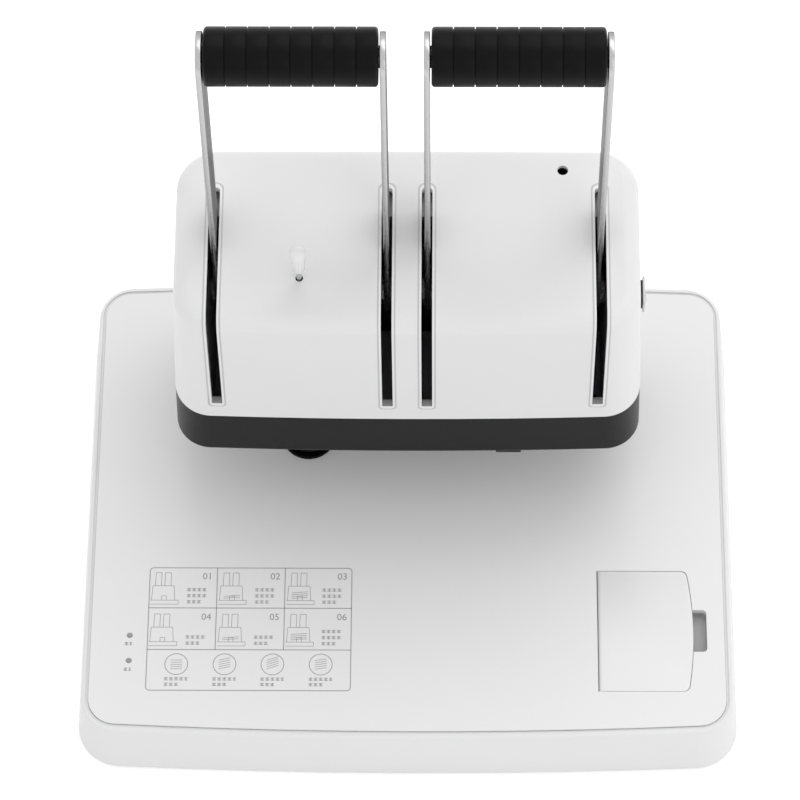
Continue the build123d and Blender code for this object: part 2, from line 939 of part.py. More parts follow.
blade_places = [
    (-inlet_x - blade_spacing, inlet_above_table - blade_rise),
    (-inlet_x, inlet_above_table + blade_rise),
    (-inlet_x + blade_spacing, inlet_above_table - blade_rise),
]
with BuildPart() as inlet_blades:
    with BuildSketch(rear_plane.offset(inlet_rim_thickness - inlet_depth)):
        with Locations(*blade_places):
            Rectangle(blade_width, blade_height)
    extrude(amount=blade_length)
inlet_blades.part.label = "inlet_blades"
export_step(inlet_blades.part, "parts/inlet_blades.step")

# Steel frame: foot, three upright plates, back plate, head plate and guide bridge
with BuildPart() as frame_foot:
    with BuildSketch(Plane.XY.offset(sheet_top)):
        with Locations((0, (frame_foot_front + frame_back + back_plate_thickness) / 2)):
            Rectangle(
                2 * (outer_plate_x + plate_thickness),
                frame_back + back_plate_thickness - frame_foot_front,
            )
        with Locations(*frame_screw_places):
            Circle(frame_screw_diameter / 2, mode=Mode.SUBTRACT)
    extrude(amount=frame_foot_thickness)
frame_foot.part.label = "frame_foot"
export_step(frame_foot.part, "parts/frame_foot.step")

bush_diameter = axle_diameter + 2 * bush_wall


def upright_plate(low_x, thickness):
    """One C-shaped upright: the column part, the head part and the axle's bore."""
    with BuildPart() as plate:
        with BuildSketch(Plane.YZ.offset(low_x)):
            with BuildLine():
                Polyline(
                    (frame_column_front, frame_foot_top),
                    (frame_back, frame_foot_top),
                    (frame_back, frame_top),
                    (frame_front + upright_slant_run, frame_top),
                    (frame_front, frame_top - upright_slant_drop),
                    (frame_front, head_plate_top),
                    (frame_column_front, head_plate_top),
                    close=True,
                )
            make_face()
            with Locations((pivot_y, pivot_z)):
                Circle(bush_diameter / 2, mode=Mode.SUBTRACT)
        extrude(amount=thickness)
    return plate.part


with BuildPart() as frame_uprights:
    add(upright_plate(-outer_plate_x - plate_thickness, plate_thickness))
    add(upright_plate(-centre_plate_thickness / 2, centre_plate_thickness))
    add(upright_plate(outer_plate_x, plate_thickness))
frame_uprights.part.label = "frame_uprights"
export_step(frame_uprights.part, "parts/frame_uprights.step")

cover_screw_places = [(x, z) for x in (-cover_screw_x, cover_screw_x) for z in cover_screw_z_above_table]
with BuildPart() as frame_back_plate:
    with BuildSketch(Plane(origin=(0, frame_back, table_z), x_dir=(-1, 0, 0), z_dir=(0, 1, 0))):
        with Locations((0, (frame_top + frame_foot_top) / 2 - table_z)):
            Rectangle(2 * (outer_plate_x + plate_thickness), frame_top - frame_foot_top)
        with Locations((-inlet_x, inlet_above_table)):
            Rectangle(
                inlet_width + 2 * inlet_pass_gap,
                inlet_height + 2 * inlet_pass_gap,
                mode=Mode.SUBTRACT,
            )
        with Locations(*rear_screw_places, *cover_screw_places):
            Circle(screw_diameter / 2, mode=Mode.SUBTRACT)
    extrude(amount=back_plate_thickness)
    chamfer(frame_back_plate.edges().filter_by(Axis.Y).group_by(Axis.Z)[-1], back_plate_corner)
frame_back_plate.part.label = "frame_back_plate"
export_step(frame_back_plate.part, "parts/frame_back_plate.step")

guide_places = [
    (side * handle_x + step, tool_y)
    for name, side in sides
    for step in (-guide_offset, guide_offset)
]
skirt_screw_places = [(x, y) for x in (-skirt_screw_x, skirt_screw_x) for y in skirt_screw_y_values]
with BuildPart() as head_plate:
    with BuildSketch(Plane.XY.offset(head_z + skirt_floor)):
        with Locations((0, (head_plate_front + frame_column_front) / 2)):
            Rectangle(
                2 * (outer_plate_x + plate_thickness),
                frame_column_front - head_plate_front,
            )
        with Locations(tool_places["press"]):
            Circle(press_hole / 2, mode=Mode.SUBTRACT)
        with Locations(tool_places["drill"]):
            Circle(drill_hole / 2, mode=Mode.SUBTRACT)
        with Locations(*guide_places):
            Circle(guide_diameter / 2, mode=Mode.SUBTRACT)
        with Locations(*skirt_screw_places):
            Circle(screw_diameter / 2, mode=Mode.SUBTRACT)
    extrude(amount=head_plate_thickness)
head_plate.part.label = "head_plate"
export_step(head_plate.part, "parts/head_plate.step")

with BuildPart() as guide_bridge:
    with BuildSketch(Plane.XY.offset(frame_top)):
        with Locations((0, (bridge_beam_front + frame_back) / 2)):
            Rectangle(2 * (outer_plate_x + plate_thickness), frame_back - bridge_beam_front)
        with Locations(*[(side * handle_x, (tongue_front + frame_back) / 2) for name, side in sides]):
            Rectangle(2 * tongue_half_width, frame_back - tongue_front)
        with Locations(*guide_places):
            Circle(guide_diameter / 2, mode=Mode.SUBTRACT)
        with Locations(tool_places["press"]):
            Circle(pin_lower_diameter / 2 + running_fit, mode=Mode.SUBTRACT)
        with Locations((tube_x, tube_y)):
            Circle(tube_outer / 2, mode=Mode.SUBTRACT)
    extrude(amount=bridge_thickness)
guide_bridge.part.label = "guide_bridge"
export_step(guide_bridge.part, "parts/guide_bridge.step")

with BuildPart() as guide_rods:
    with BuildSketch(Plane.XY.offset(head_z + skirt_floor)):
        with Locations(*guide_places):
            Circle(guide_diameter / 2)
    extrude(amount=bridge_top - head_z - skirt_floor)
guide_rods.part.label = "guide_rods"
export_step(guide_rods.part, "parts/guide_rods.step")

bush_spans = (
    (-outer_plate_x - plate_thickness, plate_thickness),
    (-centre_plate_thickness / 2, centre_plate_thickness),
    (outer_plate_x, plate_thickness),
)
with BuildPart() as axle_bushes:
    for low_x, length in bush_spans:
        with BuildSketch(Plane.YZ.offset(low_x)):
            with Locations((pivot_y, pivot_z)):
                Circle(bush_diameter / 2)
                Circle(axle_diameter / 2 + running_fit, mode=Mode.SUBTRACT)
        extrude(amount=length)
axle_bushes.part.label = "axle_bushes"
export_step(axle_bushes.part, "parts/axle_bushes.step")

# Guide tube below the right rear hole
with BuildPart() as tube_guide:
    with BuildSketch(Plane.XY.offset(bridge_top)):
        with Locations((tube_x, tube_y)):
            Circle(tube_flange / 2)
    extrude(amount=tube_flange_thickness)
    with BuildSketch(Plane.XY.offset(bridge_top)):
        with Locations((tube_x, tube_y)):
            Circle(tube_outer / 2)
    extrude(amount=-tube_length)
    with BuildSketch(Plane.XY.offset(bridge_top + tube_flange_thickness)):
        with Locations((tube_x, tube_y)):
            Circle(tube_bore / 2)
    extrude(amount=-tube_length - tube_flange_thickness, mode=Mode.SUBTRACT)
tube_guide.part.label = "tube_guide"
export_step(tube_guide.part, "parts/tube_guide.step")

# Dark skirt of the head: walls and the floor above the throat
with BuildPart() as head_skirt:
    with BuildSketch(Plane.XY.offset(head_z)):
        add(bowed_outline(head_width, head_front, head_back, head_bow, head_back_bow, skirt_corner))
    with BuildSketch(Plane.XY.offset(seam_z)):
        add(bowed_outline(seam_width, seam_front, head_back, head_bow, head_back_bow, seam_corner))
    loft(ruled=True)
    fillet(head_skirt.faces().sort_by(Axis.Z)[0].edges(), skirt_round)
    with BuildSketch(Plane.XY.offset(head_z + skirt_floor)):
        add(
            bowed_outline(
                head_width - 2 * skirt_wall,
                head_front + skirt_wall,
                head_back - skirt_wall,
                head_bow,
                head_back_bow,
                skirt_corner - skirt_wall,
            )
        )
    with BuildSketch(Plane.XY.offset(seam_z)):
        add(
            bowed_outline(
                seam_width - 2 * skirt_wall,
                seam_front + skirt_wall,
                head_back - skirt_wall,
                head_bow,
                head_back_bow,
                seam_corner - skirt_wall,
            )
        )
    loft(ruled=True, mode=Mode.SUBTRACT)
    with BuildSketch(Plane.XY.offset(head_z)):
        with Locations((0, (frame_column_front + frame_back + back_plate_thickness) / 2)):
            Rectangle(
                2 * (outer_plate_x + plate_thickness + frame_pass_gap),
                frame_back + back_plate_thickness - frame_column_front + 2 * frame_pass_gap,
            )
        with Locations(tool_places["press"]):
            Circle(press_hole / 2)
        with Locations(tool_places["drill"]):
            Circle(drill_hole / 2)
        with Locations(*skirt_screw_places):
            Circle((screw_diameter + screw_hole_clearance) / 2)
    extrude(amount=skirt_floor, mode=Mode.SUBTRACT)
head_skirt.part.label = "head_skirt"
export_step(head_skirt.part, "parts/head_skirt.step")

# Screws of the casings: rear cover, top cover and skirt
with BuildPart() as casing_screws:
    with BuildSketch(rear_plane):
        with Locations(*rear_screw_places, *cover_screw_places):
            Circle(screw_head_diameter / 2)
    extrude(amount=screw_head_height)
    outer_faces = casing_screws.faces().group_by(Axis.Y)[-1]
    fillet(outer_faces.edges(), screw_head_round)
    with BuildSketch(rear_plane):
        with Locations(*rear_screw_places, *cover_screw_places):
            Circle(screw_diameter / 2)
    extrude(amount=-(head_back - frame_back))
    with BuildSketch(Plane.XY.offset(head_z)):
        with Locations(*skirt_screw_places):
            Circle(screw_head_diameter / 2)
    extrude(amount=-screw_head_height)
    with BuildSketch(Plane.XY.offset(head_z)):
        with Locations(*skirt_screw_places):
            Circle(screw_diameter / 2)
    extrude(amount=skirt_floor + head_plate_thickness)
casing_screws.part.label = "casing_screws"
export_step(casing_screws.part, "parts/casing_screws.step")

# White cover with its four arm slots, pin hole, tube hole and switch cut-out
slot_x_values = [side * handle_x + step for name, side in sides for step in (-slot_offset, slot_offset)]
switch_wall_x = cover_half_width(switch_z)
with BuildPart() as top_cover:
    add(cover_body(0, cover_round))
    add(cover_body(cover_wall, cover_round - cover_wall), mode=Mode.SUBTRACT)
    for slot_x in slot_x_values:
        add(slot_block(slot_x, trim_width, trim_end, trim_corner, trim_low_corner), mode=Mode.SUBTRACT)
    with BuildSketch(Plane.XY.offset(seam_z + cover_wall)):
        with Locations(tool_places["press"]):
            Circle(pin_hole_diameter / 2)
        with Locations((tube_x, tube_y)):
            Circle(tube_bore / 2)
    extrude(amount=2 * cover_front_height, mode=Mode.SUBTRACT)
    with BuildSketch(Plane.YZ.offset(switch_wall_x - 2 * cover_wall)):
        with Locations((switch_y, switch_z)):
            Rectangle(
                switch_length - 2 * switch_body_inset + 2 * switch_fit,
                switch_width - 2 * switch_body_inset + 2 * switch_fit,
            )
    extrude(amount=4 * cover_wall, mode=Mode.SUBTRACT)
    with BuildSketch(rear_plane):
        with Locations(*cover_screw_places):
            Circle((screw_diameter + screw_hole_clearance) / 2)
    extrude(amount=-2 * cover_wall, mode=Mode.SUBTRACT)
top_cover.part.label = "top_cover"
export_step(top_cover.part, "parts/top_cover.step")

# Light trims that line the arm slots and follow the cover's surface
with BuildPart() as slot_trims:
    add(cover_body(-trim_proud, cover_round + trim_proud))
    add(cover_body(trim_depth, cover_round - trim_depth), mode=Mode.SUBTRACT)
    trim_blocks = [
        slot_block(x, trim_width, trim_end, trim_corner, trim_low_corner) for x in slot_x_values
    ]
    add(trim_blocks, mode=Mode.INTERSECT)
    for slot_x in slot_x_values:
        add(slot_block(slot_x, slot_width, 0, slot_corner), mode=Mode.SUBTRACT)
slot_trims.part.label = "slot_trims"
export_step(slot_trims.part, "parts/slot_trims.step")

# Work lamp under the front edge of the head
with BuildPart() as lamp_housing:
    with BuildSketch(Plane.XY.offset(head_z)):
        with Locations((lamp_x, lamp_front + lamp_length / 2)):
            RectangleRounded(lamp_width, lamp_length, lamp_corner)
    extrude(amount=-lamp_drop)
    with BuildSketch(Plane.XY.offset(head_z - lamp_drop)):
        with Locations((lamp_x, lamp_front + lamp_length / 2)):
            RectangleRounded(lamp_width - 2 * lens_inset, lamp_length - 2 * lens_inset, lens_corner)
    extrude(amount=lens_thickness, mode=Mode.SUBTRACT)
lamp_housing.part.label = "lamp_housing"
export_step(lamp_housing.part, "parts/lamp_housing.step")

with BuildPart() as lamp_lens:
    with BuildSketch(Plane.XY.offset(head_z - lamp_drop)):
        with Locations((lamp_x, lamp_front + lamp_length / 2)):
            RectangleRounded(lamp_width - 2 * lens_inset, lamp_length - 2 * lens_inset, lens_corner)
    extrude(amount=lens_thickness)
lamp_lens.part.label = "lamp_lens"
export_step(lamp_lens.part, "parts/lamp_lens.step")

# Control board, with the two light pipes up to the table
board_top = board_height + board_thickness
with BuildPart() as control_board:
    with BuildSketch(Plane.XY.offset(board_height)):
        with Locations((board_x, board_y)):
            Rectangle(board_width, board_length)
    extrude(amount=board_thickness)
    with BuildSketch(Plane.XY.offset(board_top)):
        with Locations((board_x + transformer_shift[0], board_y + transformer_shift[1])):
            Rectangle(transformer_size[0], transformer_size[1])
    extrude(amount=transformer_size[2])
    with BuildSketch(Plane.XY.offset(board_top)):
        with Locations((board_x + relay_shift[0], board_y + relay_shift[1])):
            Rectangle(relay_size[0], relay_size[1])
    extrude(amount=relay_size[2])
    with BuildSketch(Plane.XY.offset(board_top)):
        with Locations((board_x + capacitor_shift[0], board_y + capacitor_shift[1])):
            Circle(capacitor_diameter / 2)
    extrude(amount=capacitor_height)
    with BuildSketch(Plane.XY.offset(board_top)):
        with Locations(*[(light_x, y) for y in light_y_values]):
            Circle(light_base_diameter / 2)
    extrude(amount=light_base_height)
control_board.part.label = "control_board"
export_step(control_board.part, "parts/control_board.step")

with BuildPart() as indicator_lights:
    with BuildSketch(Plane.XY.offset(board_top + light_base_height)):
        with Locations(*[(light_x, y) for y in light_y_values]):
            Circle(light_diameter / 2)
    extrude(amount=table_z + light_proud - board_top - light_base_height)
    fillet(indicator_lights.faces().sort_by(Axis.Z)[-2:].edges(), light_round)
indicator_lights.part.label = "indicator_lights"
export_step(indicator_lights.part, "parts/indicator_lights.step")

# Switch on the right side: housing with a neck and a bezel off the wall, and the rocker
bezel_x = switch_wall_x + switch_neck
rocker_pivot_x = bezel_x + switch_flange + rocker_proud - rocker_rise
with BuildPart() as switch_housing:
    with BuildSketch(Plane.YZ.offset(bezel_x)):
        with Locations((switch_y, switch_z)):
            RectangleRounded(switch_length, switch_width, switch_corner)
    extrude(amount=switch_flange)
    with BuildSketch(Plane.YZ.offset(bezel_x)):
        with Locations((switch_y, switch_z)):
            Rectangle(
                switch_length - 2 * switch_body_inset,
                switch_width - 2 * switch_body_inset,
            )
    extrude(amount=-switch_depth - switch_neck)
    with BuildSketch(Plane.YZ.offset(rocker_pivot_x - rocker_heel - switch_floor_gap)):
        with Locations((switch_y, switch_z)):
            Rectangle(2 * (rocker_radius + seat_clearance), rocker_width + 2 * seat_clearance)
    extrude(amount=2 * switch_depth, mode=Mode.SUBTRACT)
switch_housing.part.label = "switch_housing"
export_step(switch_housing.part, "parts/switch_housing.step")

with BuildPart() as switch_rocker:
    with BuildSketch(Plane.XY.offset(switch_z - rocker_width / 2)):
        with Locations((rocker_pivot_x, switch_y)):
            Circle(rocker_radius)
            with Locations(((rocker_rise - rocker_heel) / 2, 0)):
                Rectangle(
                    rocker_rise + rocker_heel,
                    2 * rocker_radius,
                    mode=Mode.INTERSECT,
                )
    extrude(amount=rocker_width)
    rocker_axis = Axis((rocker_pivot_x, switch_y, switch_z), (0, 0, 1))
switch_rocker.part = switch_rocker.part.rotate(rocker_axis, rocker_tilt)
switch_rocker.part.label = "switch_rocker"
export_step(switch_rocker.part, "parts/switch_rocker.step")

# Locating pin: rod and tapered knob, held at its shoulder by the guide bridge
knob_low = cover_front_top_z + knob_above_cover
knob_top = knob_low + knob_height
crown_radius = ((knob_top_diameter / 2) ** 2 + knob_crown**2) / (2 * knob_crown)
pin_plane = Plane(origin=(-handle_x, tool_y, 0), x_dir=(1, 0, 0), z_dir=(0, -1, 0))
with BuildPart() as locating_pin:
    with BuildSketch(Plane.XY.offset(table_z + pin_low_above_table)):
        with Locations(tool_places["press"]):
            Circle(pin_lower_diameter / 2)
    extrude(amount=bridge_top - table_z - pin_low_above_table)
    with BuildSketch(Plane.XY.offset(bridge_top)):
        with Locations(tool_places["press"]):
            Circle(pin_diameter / 2)
    extrude(amount=knob_low - bridge_top)
locating_pin.part.label = "locating_pin"
export_step(locating_pin.part, "parts/locating_pin.step")

with BuildPart() as pin_knob:
    with BuildSketch(pin_plane):
        with BuildLine():
            Polyline(
                (0, knob_top),
                (0, knob_low),
                (knob_foot_diameter / 2, knob_low),
                (knob_top_diameter / 2, knob_top - knob_crown),
            )
            RadiusArc((knob_top_diameter / 2, knob_top - knob_crown), (0, knob_top), -crown_radius)
        make_face()
    revolve(axis=Axis((-handle_x, tool_y, 0), (0, 0, 1)))
pin_knob.part.label = "pin_knob"
export_step(pin_knob.part, "parts/pin_knob.step")


def gear_tooth_points():
    """One tooth of a sector gear, pointing along the sketch's first axis."""
    half_root = tooth_root_half_width - tooth_slack / 2
    half_pitch = tooth_pitch / 4 - tooth_slack / 2
    half_tip = tooth_tip_half_width - tooth_slack / 2
    root = pitch_radius - dedendum - tooth_root_lap
    tip = pitch_radius + addendum
    return [
        (root, -half_root),
        (pitch_radius - dedendum, -half_root),
        (pitch_radius, -half_pitch),
        (tip, -half_tip),
        (tip, half_tip),
        (pitch_radius, half_pitch),
        (pitch_radius - dedendum, half_root),
        (root, half_root),
    ]


def rack_points(low, high):
    """A rack's side view: a straight back, teeth towards the axle."""
    half_pitch = tooth_pitch / 4 - tooth_slack / 2
    slope = math.tan(math.radians(pressure_angle))
    root_y = rack_line_y - dedendum
    tip_y = rack_line_y + addendum
    points = [(crossbar_back, low), (root_y, low)]
    number = int((high - pivot_z) / tooth_pitch)
    for index in range(-2, number):
        centre = pivot_z + (index + 0.5) * tooth_pitch
        points.append((root_y, centre - half_pitch - dedendum * slope))
        points.append((tip_y, centre - half_pitch + addendum * slope))
        points.append((tip_y, centre + half_pitch - addendum * slope))
        points.append((root_y, centre + half_pitch + dedendum * slope))
    points.append((root_y, high))
    points.append((crossbar_back, high))
    return points


# Teeth that engage over the handle's travel, with one spare tooth at each end
tooth_angle = 360 / gear_tooth_number
cut_teeth = math.ceil(handle_travel / tooth_angle) + spare_teeth
first_tooth_angle = 180 + tooth_angle - (cut_teeth - 1) * tooth_angle
wedge_reach = 2 * pitch_radius
wedge_low = first_tooth_angle - wedge_margin * tooth_angle
wedge_high = 180 + (1 + wedge_margin) * tooth_angle
wedge_angles = [wedge_low, (wedge_low + wedge_high) / 2, wedge_high]
wedge_points = [(pivot_y, pivot_z)]
for angle in wedge_angles:
    direction = math.radians(angle)
    wedge_points.append(
        (pivot_y + wedge_reach * math.cos(direction), pivot_z + wedge_reach * math.sin(direction))
    )
rack_top = pivot_z + stroke + tooth_pitch / 8

for name, side in sides:
    centre_x = side * handle_x
    gear_x_values = (centre_x - gear_offset, centre_x + gear_offset)
    arm_x_values = (centre_x - arm_offset, centre_x + arm_offset)

    # Arms: flat bars with round ends and a hub welded on both faces
    with BuildPart() as arms:
        for arm_x in arm_x_values:
            inward = 1 if arm_x < centre_x else -1
            with BuildSketch(Plane.YZ.offset(arm_x - arm_thickness / 2)):
                with Locations(((pivot_y + grip_y) / 2, (pivot_z + grip_z) / 2)):
                    SlotCenterToCenter(lever_length, arm_width, rotation=90 - lever_lean)
            extrude(amount=arm_thickness)
            with BuildSketch(Plane.YZ.offset(arm_x)):
                with Locations((pivot_y, pivot_z)):
                    Circle(hub_diameter / 2)
            extrude(amount=inward * (arm_thickness / 2 + hub_inner_length))
            with BuildSketch(Plane.YZ.offset(arm_x)):
                with Locations((pivot_y, pivot_z)):
                    Circle(hub_diameter / 2)
            extrude(amount=-inward * (arm_thickness / 2 + hub_outer_length))
        with BuildSketch(Plane.YZ.offset(centre_x)):
            with Locations((pivot_y, pivot_z)):
                Circle(axle_diameter / 2)
            with Locations((grip_y, grip_z)):
                Circle(tenon_diameter / 2)
        extrude(amount=2 * arm_offset, both=True, mode=Mode.SUBTRACT)
    arms.part.label = f"{name}_arms"
    export_step(arms.part, f"parts/{name}_arms.step")

    # Bar between the arm tops, riveted flush in them
    bar_length = 2 * arm_offset - arm_thickness
    with BuildPart() as grip_bar:
        with BuildSketch(Plane.YZ.offset(centre_x)):
            with Locations((grip_y, grip_z)):
                Circle(bar_diameter / 2)
        extrude(amount=bar_length / 2, both=True)
        with BuildSketch(Plane.YZ.offset(centre_x)):
            with Locations((grip_y, grip_z)):
                Circle(tenon_diameter / 2)
        extrude(amount=bar_length / 2 + arm_thickness, both=True)
    grip_bar.part.label = f"{name}_grip_bar"
    export_step(grip_bar.part, f"parts/{name}_grip_bar.step")

    # Soft grip in round segments
    segment = grip_length / grip_segments
    with BuildPart() as grip:
        with BuildSketch(Plane.YZ.offset(centre_x)):
            with Locations((grip_y, grip_z)):
                Circle(grip_diameter / 2)
        extrude(amount=grip_length / 2, both=True)
        fillet(grip.edges().filter_by(GeomType.CIRCLE), grip_round)
        for index in range(1, grip_segments):
            groove_x = centre_x - grip_length / 2 + index * segment
            with BuildSketch(Plane.YZ.offset(groove_x)):
                with Locations((grip_y, grip_z)):
                    Circle(grip_diameter / 2 + grip_groove_depth)
                    Circle(grip_diameter / 2 - grip_groove_depth, mode=Mode.SUBTRACT)
            extrude(amount=grip_groove / 2, both=True, mode=Mode.SUBTRACT)
        with BuildSketch(Plane.YZ.offset(centre_x)):
            with Locations((grip_y, grip_z)):
                Circle(bar_diameter / 2)
        extrude(amount=grip_length, both=True, mode=Mode.SUBTRACT)
    grip.part.label = f"{name}_grip"
    export_step(grip.part, f"parts/{name}_grip.step")

    # Axle, pushed in from the outside up to its flange
    flange_x = side * (outer_plate_x + plate_thickness + seat_clearance)
    with BuildPart() as axle:
        with BuildSketch(Plane.YZ.offset(side * seat_clearance)):
            with Locations((pivot_y, pivot_z)):
                Circle(axle_diameter / 2)
        extrude(amount=flange_x - side * seat_clearance)
        with BuildSketch(Plane.YZ.offset(flange_x)):
            with Locations((pivot_y, pivot_z)):
                Circle(axle_flange_diameter / 2)
        extrude(amount=side * axle_flange)
    axle.part.label = f"{name}_axle"
    export_step(axle.part, f"parts/{name}_axle.step")

    # Two sector gears on the axle
    with BuildPart() as sector_gears:
        for gear_x in gear_x_values:
            with BuildSketch(Plane.YZ.offset(gear_x)):
                with Locations((pivot_y, pivot_z)):
                    Circle(pitch_radius - dedendum)
                with BuildLine():
                    Polyline(*wedge_points, close=True)
                make_face(mode=Mode.INTERSECT)
                with Locations((pivot_y, pivot_z)):
                    Circle(gear_hub_radius)
                    with PolarLocations(
                        0,
                        cut_teeth,
                        start_angle=first_tooth_angle,
                        angular_range=(cut_teeth - 1) * tooth_angle,
                        endpoint=True,
                    ):
                        Polygon(*gear_tooth_points(), align=None)
                    Circle(axle_diameter / 2, mode=Mode.SUBTRACT)
            extrude(amount=gear_width / 2, both=True)
    sector_gears.part.label = f"{name}_sector_gears"
    export_step(sector_gears.part, f"parts/{name}_sector_gears.step")

    # Return spring wound round the axle between the gears
    with BuildPart() as return_spring:
        with BuildSketch(Plane.YZ.offset(centre_x)):
            with Locations((pivot_y, pivot_z)):
                Circle(axle_diameter / 2 + spring_wire)
                Circle(axle_diameter / 2, mode=Mode.SUBTRACT)
        extrude(amount=gear_offset - gear_width / 2 - spring_end_gap, both=True)
    return_spring.part.label = f"{name}_return_spring"
    export_step(return_spring.part, f"parts/{name}_return_spring.step")

    # Carriage block with its crossbar, bored for the guide rods and the tool
    with BuildPart() as carriage:
        with BuildSketch(Plane.XY.offset(carriage_low)):
            with Locations((centre_x, (crossbar_back + carriage_back) / 2)):
                Rectangle(2 * carriage_half_width, carriage_back - crossbar_back)
            with Locations((centre_x, (crossbar_front + crossbar_back) / 2)):
                Rectangle(2 * crossbar_half_width, crossbar_back - crossbar_front)
            with Locations((centre_x - guide_offset, tool_y), (centre_x + guide_offset, tool_y)):
                Circle(guide_diameter / 2 + running_fit, mode=Mode.SUBTRACT)
        extrude(amount=carriage_height)
        if side < 0:
            with BuildSketch(Plane.XY.offset(carriage_low)):
                with Locations((centre_x, tool_y)):
                    Circle(press_shaft_diameter / 2)
            extrude(amount=carriage_height, mode=Mode.SUBTRACT)
        else:
            with BuildSketch(Plane.XY.offset(carriage_low)):
                with Locations((centre_x, tool_y)):
                    Circle(spindle_diameter / 2 + spindle_gap)
            extrude(amount=carriage_height, mode=Mode.SUBTRACT)
            for level in (carriage_low, carriage_top - bearing_height):
                with BuildSketch(Plane.XY.offset(level)):
                    with Locations((centre_x, tool_y)):
                        Circle(bearing_diameter / 2)
                extrude(amount=bearing_height, mode=Mode.SUBTRACT)
    carriage_name = "press_carriage" if side < 0 else "drill_carriage"
    carriage.part.label = carriage_name
    export_step(carriage.part, f"parts/{carriage_name}.step")

    # Racks on the back of the crossbar, in line with the gears
    with BuildPart() as racks:
        for gear_x in gear_x_values:
            with BuildSketch(Plane.YZ.offset(gear_x)):
                with BuildLine():
                    Polyline(*rack_points(carriage_low, rack_top), close=True)
                make_face()
            extrude(amount=gear_width / 2, both=True)
    racks.part.label = f"{name}_racks"
    export_step(racks.part, f"parts/{name}_racks.step")

# Press tool: shaft, insulator, heater and upper die, bored for the locating pin
die_top = tip_z + die_height
heater_top = die_top + heater_height
insulator_top = heater_top + insulator_height
with BuildPart() as press_shaft:
    with BuildSketch(Plane.XY.offset(insulator_top)):
        with Locations(tool_places["press"]):
            Circle(press_shaft_diameter / 2)
    extrude(amount=carriage_top - insulator_top)
    with BuildSketch(Plane.XY.offset(carriage_top)):
        with Locations(tool_places["press"]):
            Circle(press_collar_diameter / 2)
    extrude(amount=press_collar_height)
    with BuildSketch(Plane.XY.offset(insulator_top)):
        with Locations(tool_places["press"]):
            Circle(pin_bore / 2)
    extrude(amount=carriage_top + press_collar_height - insulator_top, mode=Mode.SUBTRACT)
press_shaft.part.label = "press_shaft"
export_step(press_shaft.part, "parts/press_shaft.step")

with BuildPart() as heat_insulator:
    with BuildSketch(Plane.XY.offset(heater_top)):
        with Locations(tool_places["press"]):
            Circle(heater_diameter / 2)
            Circle(pin_bore / 2, mode=Mode.SUBTRACT)
    extrude(amount=insulator_height)
heat_insulator.part.label = "heat_insulator"
export_step(heat_insulator.part, "parts/heat_insulator.step")

with BuildPart() as upper_heater:
    with BuildSketch(Plane.XY.offset(die_top)):
        with Locations(tool_places["press"]):
            Circle(heater_diameter / 2)
            Circle(pin_bore / 2, mode=Mode.SUBTRACT)
    extrude(amount=heater_height)
upper_heater.part.label = "upper_heater"
export_step(upper_heater.part, "parts/upper_heater.step")

with BuildPart() as upper_die:
    with Locations((*tool_places["press"], tip_z)):
        Cone(
            die_tip_diameter / 2,
            die_diameter / 2,
            die_height - die_shank_height,
            align=(Align.CENTER, Align.CENTER, Align.MIN),
        )
    with BuildSketch(Plane.XY.offset(die_top)):
        with Locations(tool_places["press"]):
            Circle(die_diameter / 2)
    extrude(amount=-die_shank_height)
    with BuildSketch(Plane.XY.offset(tip_z)):
        with Locations(tool_places["press"]):
            Circle(pin_bore / 2)
    extrude(amount=die_height, mode=Mode.SUBTRACT)
upper_die.part.label = "upper_die"
export_step(upper_die.part, "parts/upper_die.step")

# Drill: motor, bearings, spindle with its chuck, and hollow bit
with BuildPart() as drill_motor:
    with BuildSketch(Plane.XY.offset(carriage_top)):
        with Locations(tool_places["drill"]):
            Circle(motor_diameter / 2)
    extrude(amount=frame_top - motor_top_gap - carriage_top)
    chamfer(drill_motor.faces().sort_by(Axis.Z)[-1].edges(), motor_chamfer)
drill_motor.part.label = "drill_motor"
export_step(drill_motor.part, "parts/drill_motor.step")

with BuildPart() as spindle_bearings:
    for level in (carriage_low, carriage_top - bearing_height):
        with BuildSketch(Plane.XY.offset(level)):
            with Locations(tool_places["drill"]):
                Circle(bearing_diameter / 2)
                Circle(spindle_diameter / 2 + running_fit, mode=Mode.SUBTRACT)
        extrude(amount=bearing_height)
spindle_bearings.part.label = "spindle_bearings"
export_step(spindle_bearings.part, "parts/spindle_bearings.step")

chuck_low = table_z + chuck_low_above_table
chuck_top = chuck_low + chuck_height
with BuildPart() as drill_spindle:
    with BuildSketch(Plane.XY.offset(chuck_low)):
        with Locations(tool_places["drill"]):
            Circle(chuck_diameter / 2)
    extrude(amount=chuck_height)
    chamfer(drill_spindle.faces().sort_by(Axis.Z)[0].edges(), chuck_chamfer)
    with BuildSketch(Plane.XY.offset(chuck_top)):
        with Locations(tool_places["drill"]):
            Circle(spindle_diameter / 2)
    extrude(amount=carriage_top - seat_clearance - chuck_top)
    with BuildSketch(Plane.XY.offset(chuck_low)):
        with Locations(tool_places["drill"]):
            Circle(bit_diameter / 2)
    extrude(amount=bit_grip, mode=Mode.SUBTRACT)
drill_spindle.part.label = "drill_spindle"
export_step(drill_spindle.part, "parts/drill_spindle.step")

with BuildPart() as drill_bit:
    with BuildSketch(Plane.XY.offset(tip_z)):
        with Locations(tool_places["drill"]):
            Circle(bit_diameter / 2)
            Circle(bit_bore / 2, mode=Mode.SUBTRACT)
    extrude(amount=chuck_low + bit_grip - tip_z)
drill_bit.part.label = "drill_bit"
export_step(drill_bit.part, "parts/drill_bit.step")
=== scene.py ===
import json
import math

import bmesh
import bpy
from mathutils import Matrix, Vector


